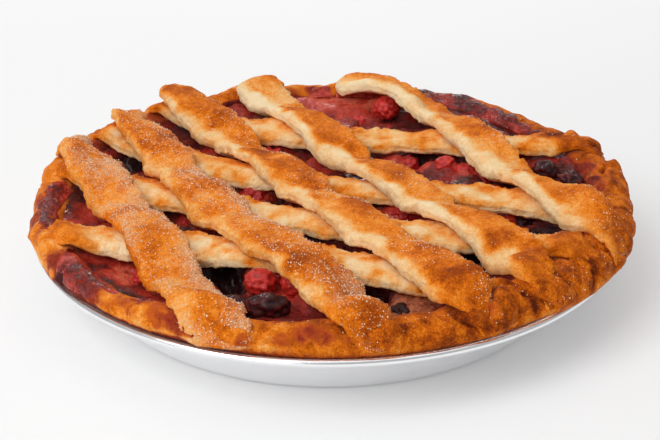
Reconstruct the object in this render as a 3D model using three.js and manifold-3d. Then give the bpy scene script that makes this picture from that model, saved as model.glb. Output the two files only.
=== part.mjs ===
// A lattice-topped fruit pie, baked and kept in its own aluminium pie tin.
// Millimetres, +Z up. The origin is the centre of the tin's flat base, on the
// surface that the tin stands on. +Y is the back of the pie, -Y its front.
//
// The pieces, from the bottom: the tin, the pastry case with its raised rim,
// the baked fruit filling, four lower lattice strips, five upper strips laid
// across them, and the whole berries that show in the gaps.

import * as THREE from 'three';
import { mergeVertices } from 'three/addons/utils/BufferGeometryUtils.js';
import Module from 'manifold-3d';

const wasm = await Module();
wasm.setup();

// ---------------------------------------------------------------- dimensions
const GAP = 0.35;            // clearance kept between neighbouring pieces
const LAID_GAP = 0.8;        // clearance under a strip, where it lies on uneven neighbours

const SECTORS = 52;          // divisions round the tin, the case and the filling

const TIN_RIM_R = 115;       // outer radius of the rolled bead
const TIN_BASE_R = 89.6;     // radius of the flat base
const TIN_WALL_TOP = 24.6;   // height where the sloping wall meets the flange
const TIN_T = 0.6;           // sheet thickness
const BEAD_R = 1.25;         // radius of the rolled bead

const BASE_T = 4.2;          // thickness of the pastry base
const CREST_R = 105.5;         // radius of the rim's crest
const CREST_Z = 39.2;        // mean height of the rim's crest
const CREST_TILT = 3.2;      // the back of the rim stands higher than the front
const CREST_LEAN = 0.6;      // and the right a little higher than the left
const BELLY_Z = 29;          // height at which the rim is widest
const LIP_W = 6;             // width of the rim's inner slope
const LIP_DROP = 3.8;        // how far it falls to the filling

const FILL_Z = 34.6;         // level of the filling in the middle
const FILL_RELIEF = 1.1;     // height of its lumps

const LOW_T = 5.6;           // thickness of a lower strip
const TOP_T = 6.2;           // thickness of an upper strip
const LOW_DIR = -14.5;       // direction of the lower strips, degrees from +X

// Each strip runs along a straight axis: dir is its direction in degrees, and off
// gives how far its centre line lies to the left of that axis at six equal steps
// from s = from to s = to. w is its half width at the start, the middle and the
// end, and tip says how much of its width and thickness is left at its two ends.
const LOWER = [
  { name: 'strip_lower_1', dir: LOW_DIR, w: [7.4, 7.8, 7.0], off: [56, 48.5, 46, 50.5, 55.5, 54], from: -92, to: 88, tip: [0.75, 0.5] },
  { name: 'strip_lower_2', dir: LOW_DIR, w: [7.4, 7.6, 7.2], off: [20.5, 7.5, -0.2, -0.2, 3.5, -3], from: -106, to: 109, tip: [0.75, 0.5] },
  { name: 'strip_lower_3', dir: LOW_DIR, w: [7.8, 7.8, 7.4], off: [-13, -23.6, -31.4, -34.8, -34, -37], from: -107, to: 109, tip: [0.7, 0.3] },
  { name: 'strip_lower_4', dir: LOW_DIR, w: [8.6, 8.6, 7.6], off: [-66, -64, -62.4, -62.4, -64.5, -68], from: -90, to: 72, tip: [0.7, 0.4] },
];
const UPPER = [
  { name: 'strip_upper_1', dir: -63, w: [9.2, 9.4, 12.2], off: [-81.5, -80.6, -80.8, -80.7, -78.4, -75.5], from: -66, to: 86, tip: [0.8, 0.6] },
  { name: 'strip_upper_2', dir: -59, w: [8.8, 8.8, 9.4], off: [-44.2, -47.4, -50.2, -50.0, -45.8, -45.5], from: -98, to: 107.5, tip: [0.8, 0.4] },
  { name: 'strip_upper_3', dir: -59, w: [9.8, 8.2, 9.4], off: [-18.5, -13.6, -13.9, -14.4, -11.6, -8.5], from: -106.5, to: 113, tip: [0.85, 0.35] },
  { name: 'strip_upper_4', dir: -59, w: [11.0, 8.2, 9.2], off: [21.5, 20.4, 18.9, 18.7, 20.8, 20], from: -109, to: 111.5, tip: [0.85, 0.35] },
  { name: 'strip_upper_5', dir: -62, w: [12.5, 8.4, 9.4], off: [60, 71, 70.2, 68.2, 66.4, 68.5], from: -88, to: 90, tip: [0.85, 0.6] },
];
const STATIONS = 28;         // cross-sections along a strip

// Whole fruit that shows in the gaps: place of its centre, radius, colour.
const BERRIES = [
  { name: 'berry_red_1', x: 26, y: 82.5, r: 6.2, long: 1.0, dark: false },
  { name: 'berry_red_2', x: -23.5, y: -76, r: 5.5, long: 1.05, dark: false },
  { name: 'berry_red_3', x: -11, y: -77, r: 5.4, long: 1.05, dark: false },
  { name: 'berry_dark_1', x: -20.5, y: -91, r: 5.8, long: 1.35, dark: true },
  { name: 'berry_dark_2', x: 96, y: 4.5, r: 5.6, long: 1.05, dark: true },
  { name: 'berry_dark_3', x: 88, y: 16, r: 5.2, long: 1.0, dark: true },
];

// ---------------------------------------------------------------- small helpers
const RAD = Math.PI / 180;
const clamp = (v, a, b) => Math.min(b, Math.max(a, v));
const smooth = (a, b, v) => { const t = clamp((v - a) / (b - a), 0, 1); return t * t * (3 - 2 * t); };
const bump = (deg, centre, width) => {
  let d = ((deg - centre) % 360 + 540) % 360 - 180;
  return Math.exp(-(d / width) * (d / width));
};

// ---------------------------------------------------------------- the rim and the filling as surfaces
// Outer radius of the rim: tucked inside the bead at the front, hanging over it
// on the right, and uneven all the way round.
function rimR(th) {
  const d = th / RAD;
  return 115.2 - 2.3 * bump(d, -88, 42) + 1.2 * bump(d, 180, 35) + 4.2 * bump(d, -8, 34)
    + 1.6 * bump(d, 17, 7) - 1.2 * bump(d, 95, 30)
    + 0.6 * Math.sin(9 * th + 0.5) + 0.4 * Math.sin(17 * th + 1.3);
}
function crestZ(th) {
  return CREST_Z + CREST_TILT * Math.sin(th) + CREST_LEAN * Math.cos(th)
    + 0.5 * Math.sin(7 * th + 1) + 0.4 * Math.sin(13 * th + 2) + 3.4 * bump(th / RAD, 18, 7)
    + 1.5 * bump(th / RAD, 155, 25) + 0.8 * bump(th / RAD, 90, 40) + 1.2 * bump(th / RAD, -48, 25);
}
// Radius of the crest: the filling has run out over the rim on the left and the
// left front, where the crest lies close to the outer edge.
function crestR(th) {
  const d = th / RAD;
  return CREST_R + 3.4 * bump(d, -152, 42) + 1.0 * bump(d, -100, 25) + 3.2 * bump(d, 6, 26) - 1.5 * bump(d, -52, 22);
}
const SHOULDER = 2.5;        // how square the rim's outer shoulder is
function rimTop(rho, th) {
  const zc = crestZ(th), R = rimR(th), C = crestR(th);
  if (rho >= C) {
    const u = clamp((rho - C) / (R - C), 0, 1);
    return BELLY_Z + (zc - BELLY_Z) * Math.pow(1 - Math.pow(u, SHOULDER), 1 / SHOULDER);
  }
  const d = (C - rho) / LIP_W;
  return d > 1.15 ? -1e3 : zc - LIP_DROP * Math.pow(d, 1.6);
}
function fillTop(rho, th) {
  const x = rho * Math.cos(th), y = rho * Math.sin(th);
  const edge = crestZ(th) - LIP_DROP - 0.3;
  const rim = crestR(th) - LIP_W - 1.5;
  const base = FILL_Z + (edge - FILL_Z) * Math.pow(clamp(rho / rim, 0, 1), 2.2);
  const fade = smooth(rim, 78, rho);
  const lumps = Math.sin(x * 0.23 + 1.1 * Math.sin(y * 0.11)) * Math.cos(y * 0.27 + 0.8)
    + 0.5 * Math.sin(x * 0.41 - y * 0.37 + 2.0);
  return base + FILL_RELIEF * fade * lumps * 0.7;
}
function support(x, y) {
  const rho = Math.hypot(x, y), th = Math.atan2(y, x);
  return Math.max(rho < crestR(th) - LIP_W ? fillTop(rho, th) : -1e3, rimTop(rho, th));
}

// ---------------------------------------------------------------- mesh makers
function toGeometry(pos, idx) {
  const g = new THREE.BufferGeometry();
  g.setAttribute('position', new THREE.Float32BufferAttribute(pos, 3));
  g.setIndex(idx);
  g.computeVertexNormals();
  return g;
}

// A closed body swept round the Z axis. profile(th) gives a list of [r, z], which
// starts on the axis at the bottom, goes outward and up, and ends on the axis.
function revolve(profile, sectors) {
  const pos = [], idx = [];
  const first = profile(0), m = first.length;
  pos.push(0, 0, first[0][1], 0, 0, first[m - 1][1]);
  for (let i = 0; i < sectors; i++) {
    const th = (i / sectors) * 2 * Math.PI, p = profile(th);
    for (let j = 1; j < m - 1; j++) pos.push(p[j][0] * Math.cos(th), p[j][0] * Math.sin(th), p[j][1]);
  }
  const at = (i, j) => 2 + (i % sectors) * (m - 2) + (j - 1);
  for (let i = 0; i < sectors; i++) {
    idx.push(0, at(i + 1, 1), at(i, 1));
    for (let j = 1; j < m - 2; j++) {
      idx.push(at(i, j), at(i + 1, j), at(i + 1, j + 1));
      idx.push(at(i, j), at(i + 1, j + 1), at(i, j + 1));
    }
    idx.push(1, at(i, m - 2), at(i + 1, m - 2));
  }
  return toGeometry(pos, idx);
}

// ---------------------------------------------------------------- tin
function tinGeometry() {
  const bc = TIN_RIM_R - BEAD_R, bz = TIN_WALL_TOP + 0.4;
  const rise = (TIN_WALL_TOP - 0.9);
  const slope = (bc - 1.75 - TIN_BASE_R) / rise;         // outward run of the wall per mm of height
  const inset = TIN_T * Math.hypot(1, slope);
  const pts = [[0, 0], [TIN_BASE_R - 1.2, 0], [TIN_BASE_R, 0.9], [TIN_BASE_R + slope * rise, TIN_WALL_TOP]];
  for (let k = 0; k <= 5; k++) {                          // the bead, from its inner foot round the outside to its top
    const a = -115 * RAD + k * 41 * RAD;
    pts.push([bc + BEAD_R * Math.cos(a), bz + BEAD_R * Math.sin(a)]);
  }
  pts.push([TIN_BASE_R + slope * rise - inset + 0.15, TIN_WALL_TOP + 0.6]);
  pts.push([TIN_BASE_R - inset, 0.9 + 0.05]);
  pts.push([TIN_BASE_R - 1.4 - inset * 0.5, TIN_T], [0, TIN_T]);
  const g = new THREE.LatheGeometry(pts.map(p => new THREE.Vector2(p[0], p[1])), SECTORS);
  g.rotateX(Math.PI / 2);
  g.deleteAttribute('uv'); g.deleteAttribute('normal');
  return cleaned(mergeVertices(g, 1e-4));
}
// Drops the zero-area triangles that a lathe leaves at its poles.
function cleaned(g) {
  const s = g.index.array, out = [];
  for (let i = 0; i < s.length; i += 3) if (s[i] !== s[i + 1] && s[i + 1] !== s[i + 2] && s[i] !== s[i + 2]) out.push(s[i], s[i + 1], s[i + 2]);
  g.setIndex(out);
  g.computeVertexNormals();
  return g;
}

// ---------------------------------------------------------------- pastry case
const WALL_SLOPE = (TIN_RIM_R - BEAD_R - 1.75 - TIN_BASE_R) / (TIN_WALL_TOP - 0.9);
const WALL_IN = (TIN_T + GAP) * Math.hypot(1, WALL_SLOPE);
const wallR = z => TIN_BASE_R - WALL_IN + WALL_SLOPE * (z - 0.9);
const INNER_T = 5.5;         // horizontal thickness of the case's side wall

function crustProfile(th) {
  const R = rimR(th), zc = crestZ(th), C = crestR(th);
  const p = [[0, TIN_T + GAP], [wallR(0.9) - 1.4, TIN_T + GAP], [wallR(2.4), 2.4], [wallR(24.4), 24.4]];
  const over = TIN_WALL_TOP + 0.4 + BEAD_R + GAP;         // clears the top of the bead
  p.push([TIN_RIM_R - BEAD_R - 1.5, over], [Math.max(R - 0.9, 112.9), over + 0.25]);
  for (let k = 0; k <= 4; k++) {                          // belly, shoulder and crest
    const f = (k / 4) * Math.PI / 2, e = 2 / SHOULDER;
    p.push([C + (R - C) * Math.pow(Math.cos(f) + 1e-9, e), BELLY_Z + (zc - BELLY_Z) * Math.pow(Math.sin(f) + 1e-9, e)]);
  }
  p.push([C - LIP_W * 0.55, zc - LIP_DROP * Math.pow(0.55, 1.6)], [C - LIP_W, zc - LIP_DROP]);
  p.push([wallR(25) - INNER_T - 6.2, 25], [wallR(8) - INNER_T, 8], [wallR(5) - INNER_T - 1.5, TIN_T + GAP + BASE_T], [0, TIN_T + GAP + BASE_T]);
  return p;
}

// ---------------------------------------------------------------- filling
const FILL_RINGS = [89, 77, 63, 48, 32, 16];
function fillingProfile(th) {
  const zc = crestZ(th), C = crestR(th), z0 = TIN_T + GAP + BASE_T + GAP, g = GAP * 1.45;
  const p = [[0, z0], [wallR(5) - INNER_T - 1.7 - g, z0], [wallR(8) - INNER_T - g, 8.2], [wallR(25) - INNER_T - 6.2 - g, 25]];
  p.push([C - LIP_W - g * 0.9, zc - LIP_DROP - 1.0], [C - LIP_W - g * 0.9 - 1.2, zc - LIP_DROP - 0.3]);
  for (const r of FILL_RINGS) p.push([r, fillTop(r, th)]);
  p.push([0, fillTop(0, 0)]);
  return p;
}

// ---------------------------------------------------------------- lattice strips
const dirOf = s => [Math.cos(s.dir * RAD), Math.sin(s.dir * RAD)];
function pathN(s, q) {                                    // a smooth curve through the six offsets
  const n = s.off.length - 1, f = clamp((q - s.from) / (s.to - s.from), 0, 1) * n;
  const i = Math.min(n - 1, Math.floor(f)), t = f - i, o = k => s.off[clamp(k, 0, n)];
  const m0 = (o(i + 1) - o(i - 1)) / 2, m1 = (o(i + 2) - o(i)) / 2;
  return (2 * t ** 3 - 3 * t * t + 1) * o(i) + (t ** 3 - 2 * t * t + t) * m0 + (3 * t * t - 2 * t ** 3) * o(i + 1) + (t ** 3 - t * t) * m1;
}
function place(s, q, t) {
  const [c, d] = dirOf(s), n = pathN(s, q) + t;
  return [q * c - n * d, q * d + n * c];
}
function localOf(s, x, y) {
  const [c, d] = dirOf(s), q = x * c + y * d;
  return [q, -x * d + y * c - pathN(s, q)];
}
const ACROSS = [-1, -0.5, 0, 0.5, 1];
const STEP = 1;

// How wide and how thick a strip is at q: its ends narrow, and are pressed thin
// where they hang over the rim.
function taper(s, q, T) {
  const e0 = clamp((q - s.from) / 11, 0, 1), e1 = clamp((s.to - q) / 13, 0, 1);
  const end = (s.tip[0] + (1 - s.tip[0]) * Math.pow(e0, 0.55)) * (s.tip[1] + (1 - s.tip[1]) * Math.pow(e1, 0.6));
  const f = (q - s.from) / (s.to - s.from) * 2;
  const w = f < 1 ? s.w[0] + (s.w[1] - s.w[0]) * smooth(0, 0.6, f) : s.w[1] + (s.w[2] - s.w[1]) * smooth(1.3, 2, f);
  const k = s.from + s.off[0];
  return [w * end * (1 + 0.06 * Math.sin(q * 0.16 + k) + 0.035 * Math.sin(q * 0.37 + 2 * k)), T * Math.pow(end, 0.9)];
}

// Heights of the strip's underside on a grid along (q) and across (t): it lies on
// what is under it and spans the gaps between, since dough sags only so far.
function drape(s, under, sag) {
  const qs = [];
  for (let q = s.from; q <= s.to + 1e-6; q += STEP) qs.push(q);
  const grid = ACROSS.map(a => {
    const raw = qs.map(q => {
      let m = -1e3;
      const w = taper(s, q, 1)[0];
      for (const [dq, dt] of [[0, 0], [2, 0], [-2, 0], [0, 1.5], [0, -1.5]]) {
        const qq = clamp(q + dq, s.from, s.to);
        const [x, y] = place(s, qq, a * w + dt);
        m = Math.max(m, under(x, y));
      }
      return m + LAID_GAP;
    });
    const rho = qs.map(q => Math.hypot(...place(s, q, 0)));
    const env = raw.map((_, i) => {
      let m = raw[i];
      for (let j = Math.max(0, i - 30); j < Math.min(raw.length, i + 31); j++) {
        const d = qs[i] - qs[j], k = rho[j] > 99 ? 0.11 : sag;
        m = Math.max(m, raw[j] - k * d * d);
      }
      return m;
    });
    return env.map((v, i) => {                            // rounds the creases where two spans meet
      let a2 = 0, n = 0;
      for (let j = Math.max(0, i - 3); j <= Math.min(env.length - 1, i + 3); j++) { a2 += env[j]; n++; }
      return Math.max(raw[i], a2 / n);
    });
  });
  return { qs, grid };
}
function drapeAt(s, dr, q, u) {                           // u runs from -1 to 1 across the strip
  const f = clamp((q - s.from) / STEP, 0, dr.qs.length - 1.001), i = Math.floor(f), a = f - i;
  const g = clamp((u + 1) * 2, 0, 3.999), j = Math.floor(g), b = g - j;
  const v = (jj, ii) => dr.grid[jj][ii];
  return (v(j, i) * (1 - a) + v(j, i + 1) * a) * (1 - b) + (v(j + 1, i) * (1 - a) + v(j + 1, i + 1) * a) * b;
}
// Outline of a strip's cross-section: [across, up], both relative.
const SECTION = [[-0.74, 0], [0, 0], [0.74, 0], [1, 0.42], [0.66, 0.9], [0, 1], [-0.66, 0.9], [-1, 0.42]];

function stripGeometry(s, dr, T) {
  const n = 400, len = [0], zs = [];
  for (let i = 0; i <= n; i++) zs.push(drapeAt(s, dr, s.from + (s.to - s.from) * i / n, 0));
  const dq = (s.to - s.from) / n;
  for (let i = 1; i <= n; i++) len.push(len[i - 1] + Math.hypot(dq, zs[i] - zs[i - 1]));
  const pos = [], idx = [], m = SECTION.length, rows = [];
  for (let k = 0; k <= STATIONS; k++) {
    const want = len[n] * k / STATIONS;
    let i = 0;
    while (i < n - 1 && len[i + 1] < want) i++;
    rows.push(s.from + dq * (i + clamp((want - len[i]) / (len[i + 1] - len[i]), 0, 1)));
  }
  const [c, d] = dirOf(s);
  for (const q of rows) {
    const [w, th] = taper(s, q, T);
    const h = 2.5;
    const za = drapeAt(s, dr, q - h, 0), zb = drapeAt(s, dr, q + h, 0);
    const run = Math.min(q + h, s.to) - Math.max(q - h, s.from);
    const sl = (zb - za) / run, l = Math.hypot(1, sl);
    for (const [a, up] of SECTION) {
      const [x, y] = place(s, q, a * w);
      const z = drapeAt(s, dr, q, a);
      let px = x - up * th * sl / l * c, py = y - up * th * sl / l * d;
      const reach = Math.hypot(px, py), most = Math.max(115.3, rimR(Math.atan2(py, px)) + 0.9);
      if (up > 0 && reach > most) { px *= most / reach; py *= most / reach; }   // pressed back against the rim
      pos.push(px, py, z + up * th / l);
    }
  }
  for (let k = 0; k < rows.length - 1; k++) for (let j = 0; j < m; j++) {
    const a = k * m + j, b = k * m + (j + 1) % m;
    idx.push(a, b, b + m, a, b + m, a + m);
  }
  for (let j = 1; j < m - 1; j++) {
    idx.push(0, j + 1, j);
    const e = (rows.length - 1) * m;
    idx.push(e, e + j, e + j + 1);
  }
  return toGeometry(pos, idx);
}
// Height of a laid strip's upper face at a point, for what lies on it.
function stripTopAt(s, dr, T, x, y) {
  const [q, t] = localOf(s, x, y);
  if (q < s.from || q > s.to) return -1e3;
  const [w, th] = taper(s, q, T), u = t / w;
  if (Math.abs(u) > 1) return -1e3;
  return drapeAt(s, dr, q, u) + th * Math.pow(1 - Math.pow(Math.abs(u), 3.2), 1 / 2.2) * 1.0;
}

// ---------------------------------------------------------------- berries
const DRUPE_AMP = 0.45;      // height of the bumps on a berry
const berryZ = b => support(b.x, b.y) + b.r * 0.42;
function berryGeometry(b, grow) {
  const g = new THREE.IcosahedronGeometry(1, 2);
  g.deleteAttribute('uv'); g.deleteAttribute('normal');
  const m = mergeVertices(g, 1e-4), p = m.attributes.position;
  const z0 = berryZ(b);
  for (let i = 0; i < p.count; i++) {
    const v = new THREE.Vector3().fromBufferAttribute(p, i).normalize();
    const bumps = grow ? DRUPE_AMP : DRUPE_AMP * Math.sin(v.x * 7 + b.x) * Math.sin(v.y * 7 + b.y) * Math.sin(v.z * 6 + 1);
    const r = b.r + bumps + grow;
    p.setXYZ(i, b.x + v.x * (r * b.long), b.y + v.y * r * 0.95, z0 + v.z * r * 0.85);
  }
  m.computeVertexNormals();
  return m;
}

// ---------------------------------------------------------------- booleans
function toSolid(g) {
  const p = g.attributes.position.array, s = g.index.array;
  return new wasm.Manifold(new wasm.Mesh({ numProp: 3, vertProperties: new Float32Array(p), triVerts: new Uint32Array(s) }));
}
function fromSolid(m) {
  const k = m.getMesh();
  return toGeometry(Array.from(k.vertProperties), Array.from(k.triVerts));
}

// ---------------------------------------------------------------- the pie
const pie = new THREE.Group();
function add(name, geometry, color, roughness, metalness) {
  const mesh = new THREE.Mesh(geometry, new THREE.MeshStandardMaterial({ color, roughness, metalness }));
  mesh.name = name;
  pie.add(mesh);
  return mesh;
}

add('tin', tinGeometry(), 0xc9cbce, 0.32, 1);
add('crust', revolve(crustProfile, SECTORS), 0xc98648, 0.75, 0);

let filling = toSolid(revolve(fillingProfile, SECTORS));
for (const b of BERRIES) filling = filling.subtract(toSolid(berryGeometry(b, GAP)));
add('filling', fromSolid(filling), 0x6e1512, 0.22, 0);

for (const b of BERRIES) add(b.name, berryGeometry(b, 0), b.dark ? 0x2a0f16 : 0xa01c1e, 0.3, 0);

const laid = [];
for (const s of LOWER) {
  const dr = drape(s, support, 0.03);
  laid.push([s, dr]);
  add(s.name, stripGeometry(s, dr, LOW_T), 0xe0b886, 0.7, 0);
}
const underUpper = (x, y) => {
  let m = support(x, y);
  for (const [s, dr] of laid) m = Math.max(m, stripTopAt(s, dr, LOW_T, x, y));
  for (const b of BERRIES) {
    const r = b.r + DRUPE_AMP, u = Math.hypot((x - b.x) / (r * b.long), (y - b.y) / r);
    if (u < 1) m = Math.max(m, berryZ(b) + 0.85 * r * Math.sqrt(1 - u * u));
  }
  return m;
};
for (const s of UPPER) {
  const dr = drape(s, underUpper, 0.02);
  add(s.name, stripGeometry(s, dr, TOP_T), 0xd29a5c, 0.72, 0);
}

export default pie;
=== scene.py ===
import math

import bmesh
import bpy
import numpy as np
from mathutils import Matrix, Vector


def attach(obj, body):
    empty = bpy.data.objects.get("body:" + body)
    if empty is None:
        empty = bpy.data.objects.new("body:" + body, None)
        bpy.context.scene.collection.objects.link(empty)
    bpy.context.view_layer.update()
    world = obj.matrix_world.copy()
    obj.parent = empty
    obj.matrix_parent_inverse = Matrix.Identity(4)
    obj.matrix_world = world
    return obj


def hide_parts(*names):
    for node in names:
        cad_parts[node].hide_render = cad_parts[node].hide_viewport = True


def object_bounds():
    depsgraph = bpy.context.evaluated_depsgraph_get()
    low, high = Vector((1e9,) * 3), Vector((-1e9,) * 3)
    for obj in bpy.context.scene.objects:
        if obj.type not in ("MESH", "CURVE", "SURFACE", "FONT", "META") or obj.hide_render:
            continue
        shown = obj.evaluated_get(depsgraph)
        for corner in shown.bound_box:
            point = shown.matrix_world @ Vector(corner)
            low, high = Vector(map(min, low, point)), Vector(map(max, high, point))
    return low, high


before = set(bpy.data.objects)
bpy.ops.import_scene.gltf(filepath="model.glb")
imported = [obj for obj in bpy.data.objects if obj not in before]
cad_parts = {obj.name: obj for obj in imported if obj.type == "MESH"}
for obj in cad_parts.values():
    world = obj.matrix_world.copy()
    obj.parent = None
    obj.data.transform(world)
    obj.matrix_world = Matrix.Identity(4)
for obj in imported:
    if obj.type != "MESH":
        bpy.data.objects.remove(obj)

CAD_LO, CAD_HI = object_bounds()
LO = np.array(CAD_LO) + 1e-6
HI = np.array(CAD_HI) - 1e-6
rng = np.random.default_rng(41)

# ------------------------------------------------------------------ dimensions, mm
TIN_RIM_R, TIN_BASE_R, TIN_WALL_TOP, TIN_T, BEAD_R = 115.0, 89.6, 24.6, 0.6, 1.25
CREST_R, CREST_Z, CREST_TILT, CREST_LEAN, BELLY_Z = 105.5, 39.2, 3.2, 0.6, 29.0
LIP_W, LIP_DROP, FILL_Z = 6.0, 3.8, 34.6
LOW_T, TOP_T, SHOULDER = 5.6, 6.2, 2.5
LAID = 0.35
LOW_DIR = -14.5
LOWER = [
    dict(name="strip_lower_1", dir=LOW_DIR, w=[8.2, 8.8, 8.0], off=[56, 48.5, 46, 50.5, 55.5, 54], a=-92, b=88, tip=[0.75, 0.5]),
    dict(name="strip_lower_2", dir=LOW_DIR, w=[8.2, 8.6, 8.0], off=[20.5, 7.5, -0.2, -0.2, 3.5, -3], a=-106, b=109, tip=[0.75, 0.5]),
    dict(name="strip_lower_3", dir=LOW_DIR, w=[8.6, 8.8, 8.2], off=[-13, -23.6, -31.4, -34.8, -34, -37], a=-107, b=109, tip=[0.7, 0.3]),
    dict(name="strip_lower_4", dir=LOW_DIR, w=[9.2, 9.6, 8.6], off=[-66, -64, -62.4, -62.4, -64.5, -68], a=-90, b=72, tip=[0.7, 0.4]),
]
UPPER = [
    dict(name="strip_upper_1", dir=-63, w=[9.2, 9.4, 9.6], off=[-81.5, -80.4, -80.0, -80.6, -81.6, -81.0], a=-66, b=86, tip=[0.9, 0.85]),
    dict(name="strip_upper_2", dir=-59, w=[9.2, 9.3, 9.8], off=[-44.2, -47.4, -50.2, -50.0, -45.8, -45.5], a=-98, b=107.5, tip=[0.8, 0.4]),
    dict(name="strip_upper_3", dir=-59, w=[9.8, 8.6, 9.6], off=[-18.5, -13.6, -13.9, -14.4, -11.6, -8.5], a=-106.5, b=113, tip=[0.85, 0.35]),
    dict(name="strip_upper_4", dir=-59, w=[11.0, 8.7, 9.6], off=[21.5, 20.4, 18.9, 18.7, 20.8, 20], a=-109, b=111.5, tip=[0.85, 0.35]),
    dict(name="strip_upper_5", dir=-62, w=[12.0, 8.8, 9.8], off=[60, 71, 70.2, 68.2, 66.4, 68.5], a=-88, b=90, tip=[0.85, 0.6]),
]
BERRIES = [
    dict(name="berry_red_1", x=26, y=82.5, r=6.2, long=1.0, dark=False),
    dict(name="berry_red_2", x=-23.5, y=-76, r=5.5, long=1.05, dark=False),
    dict(name="berry_red_3", x=-11, y=-77, r=5.4, long=1.05, dark=False),
    dict(name="berry_dark_1", x=-20.5, y=-91, r=5.8, long=1.35, dark=True),
    dict(name="berry_dark_2", x=96, y=4.5, r=5.6, long=1.05, dark=True),
    dict(name="berry_dark_3", x=88, y=16, r=5.2, long=1.0, dark=True),
]


# ------------------------------------------------------------------ helpers
def clamp(v, a, b):
    return np.minimum(b, np.maximum(a, v))


def smooth(a, b, v):
    t = clamp((v - a) / (b - a), 0.0, 1.0)
    return t * t * (3 - 2 * t)


def bump(deg, centre, width):
    d = np.mod(deg - centre + 540.0, 360.0) - 180.0
    return np.exp(-((d / width) ** 2))


def _hash(ix, iy, iz, seed):
    h = (ix * 73856093) ^ (iy * 19349663) ^ (iz * 83492791) ^ (seed * 26544357)
    h = h & 0xFFFFFFFF
    h = (((h >> 16) ^ h) * 0x45D9F3B) & 0xFFFFFFFF
    h = (((h >> 16) ^ h) * 0x45D9F3B) & 0xFFFFFFFF
    return ((h >> 16) ^ h) / 4294967295.0


def noise(p, scale, seed=0):
    """Smooth noise from -1 to 1, with features about scale mm across."""
    q = np.asarray(p) / scale
    i = np.floor(q).astype(np.int64)
    f = q - i
    f = f * f * f * (f * (f * 6 - 15) + 10)
    x, y, z = i[..., 0], i[..., 1], i[..., 2]
    fx, fy, fz = f[..., 0], f[..., 1], f[..., 2]
    out = 0
    for dx in (0, 1):
        wx = fx if dx else 1 - fx
        for dy in (0, 1):
            wy = fy if dy else 1 - fy
            for dz in (0, 1):
                wz = fz if dz else 1 - fz
                out = out + wx * wy * wz * _hash(x + dx, y + dy, z + dz, seed)
    return out * 2 - 1


def fbm(p, scale, octaves=3, seed=0, gain=0.5):
    s, amp, tot = 0, 1.0, 0.0
    for k in range(octaves):
        s = s + amp * noise(p, scale / (2.03**k), seed + 17 * k)
        tot += amp
        amp *= gain
    return s / tot * 1.5


def cells(p, scale, seed=0):
    """Distance to the nearest of jittered points (in cells), and that point's random number."""
    q = np.asarray(p) / scale
    i = np.floor(q).astype(np.int64)
    best = np.full(q.shape[:-1], 9.0)
    who = np.zeros(q.shape[:-1])
    for dx in (-1, 0, 1):
        for dy in (-1, 0, 1):
            for dz in (-1, 0, 1):
                c = i + np.array([dx, dy, dz])
                jit = np.stack([_hash(c[..., 0], c[..., 1], c[..., 2], seed + k) for k in (1, 2, 3)], -1)
                d = np.linalg.norm(c + jit - q, axis=-1)
                near = d < best
                best = np.where(near, d, best)
                who = np.where(near, _hash(c[..., 0], c[..., 1], c[..., 2], seed + 9), who)
    return best, who


def xyz(x, y, z=0.0):
    x = np.asarray(x, float)
    return np.stack([x, np.broadcast_to(y, x.shape), np.broadcast_to(z, x.shape)], -1)


# ------------------------------------------------------------------ the rim and the filling as surfaces
def rim_r(th):
    d = np.degrees(th)
    return (115.2 - 2.3 * bump(d, -88, 42) + 1.2 * bump(d, 180, 35) + 4.2 * bump(d, -8, 34) + 1.6 * bump(d, 17, 7)
            - 1.2 * bump(d, 95, 30) + 0.6 * np.sin(9 * th + 0.5) + 0.4 * np.sin(17 * th + 1.3))


def crest_z(th):
    d = np.degrees(th)
    return (CREST_Z + CREST_TILT * np.sin(th) + CREST_LEAN * np.cos(th) + 0.5 * np.sin(7 * th + 1) + 0.4 * np.sin(13 * th + 2)
            + 3.4 * bump(d, 18, 7) + 1.5 * bump(d, 155, 25) + 0.8 * bump(d, 90, 40) + 1.2 * bump(d, -48, 25)
            - 2.4 * bump(d, -168, 9) - 2.4 * bump(d, -136, 12))


def crest_r(th):
    d = np.degrees(th)
    return (CREST_R + 3.4 * bump(d, -152, 42) + 1.0 * bump(d, -100, 25) + 3.2 * bump(d, 6, 26) - 1.5 * bump(d, -52, 22)
            + 1.8 * bump(d, -168, 10) + 1.6 * bump(d, -136, 13))


def rim_top(rho, th):
    zc, R, C = crest_z(th), rim_r(th), crest_r(th)
    u = clamp((rho - C) / (R - C), 0, 1)
    outer = BELLY_Z + (zc - BELLY_Z) * np.power(1 - np.power(u, SHOULDER), 1 / SHOULDER)
    d = clamp((C - rho) / LIP_W, 0, 9)
    inner = np.where(d > 1.15, -1e3, zc - LIP_DROP * np.power(d, 1.6))
    return np.where(rho >= C, outer, inner)


def fill_top(rho, th):
    x, y = rho * np.cos(th), rho * np.sin(th)
    edge = crest_z(th) - LIP_DROP - 0.3
    rim = crest_r(th) - LIP_W - 1.5
    base = FILL_Z + (edge - FILL_Z) * np.power(clamp(rho / rim, 0, 1), 2.2)
    fade = smooth(rim, 78.0, rho)
    lumps = np.sin(x * 0.23 + 1.1 * np.sin(y * 0.11)) * np.cos(y * 0.27 + 0.8) + 0.5 * np.sin(x * 0.41 - y * 0.37 + 2.0)
    return base + 1.1 * fade * lumps * 0.7


def support(x, y):
    rho, th = np.hypot(x, y), np.arctan2(y, x)
    return np.maximum(np.where(rho < crest_r(th) - LIP_W, fill_top(rho, th), -1e3), rim_top(rho, th))


# ------------------------------------------------------------------ the lattice strips as surfaces
def axis(s):
    return math.cos(math.radians(s["dir"])), math.sin(math.radians(s["dir"]))


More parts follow.
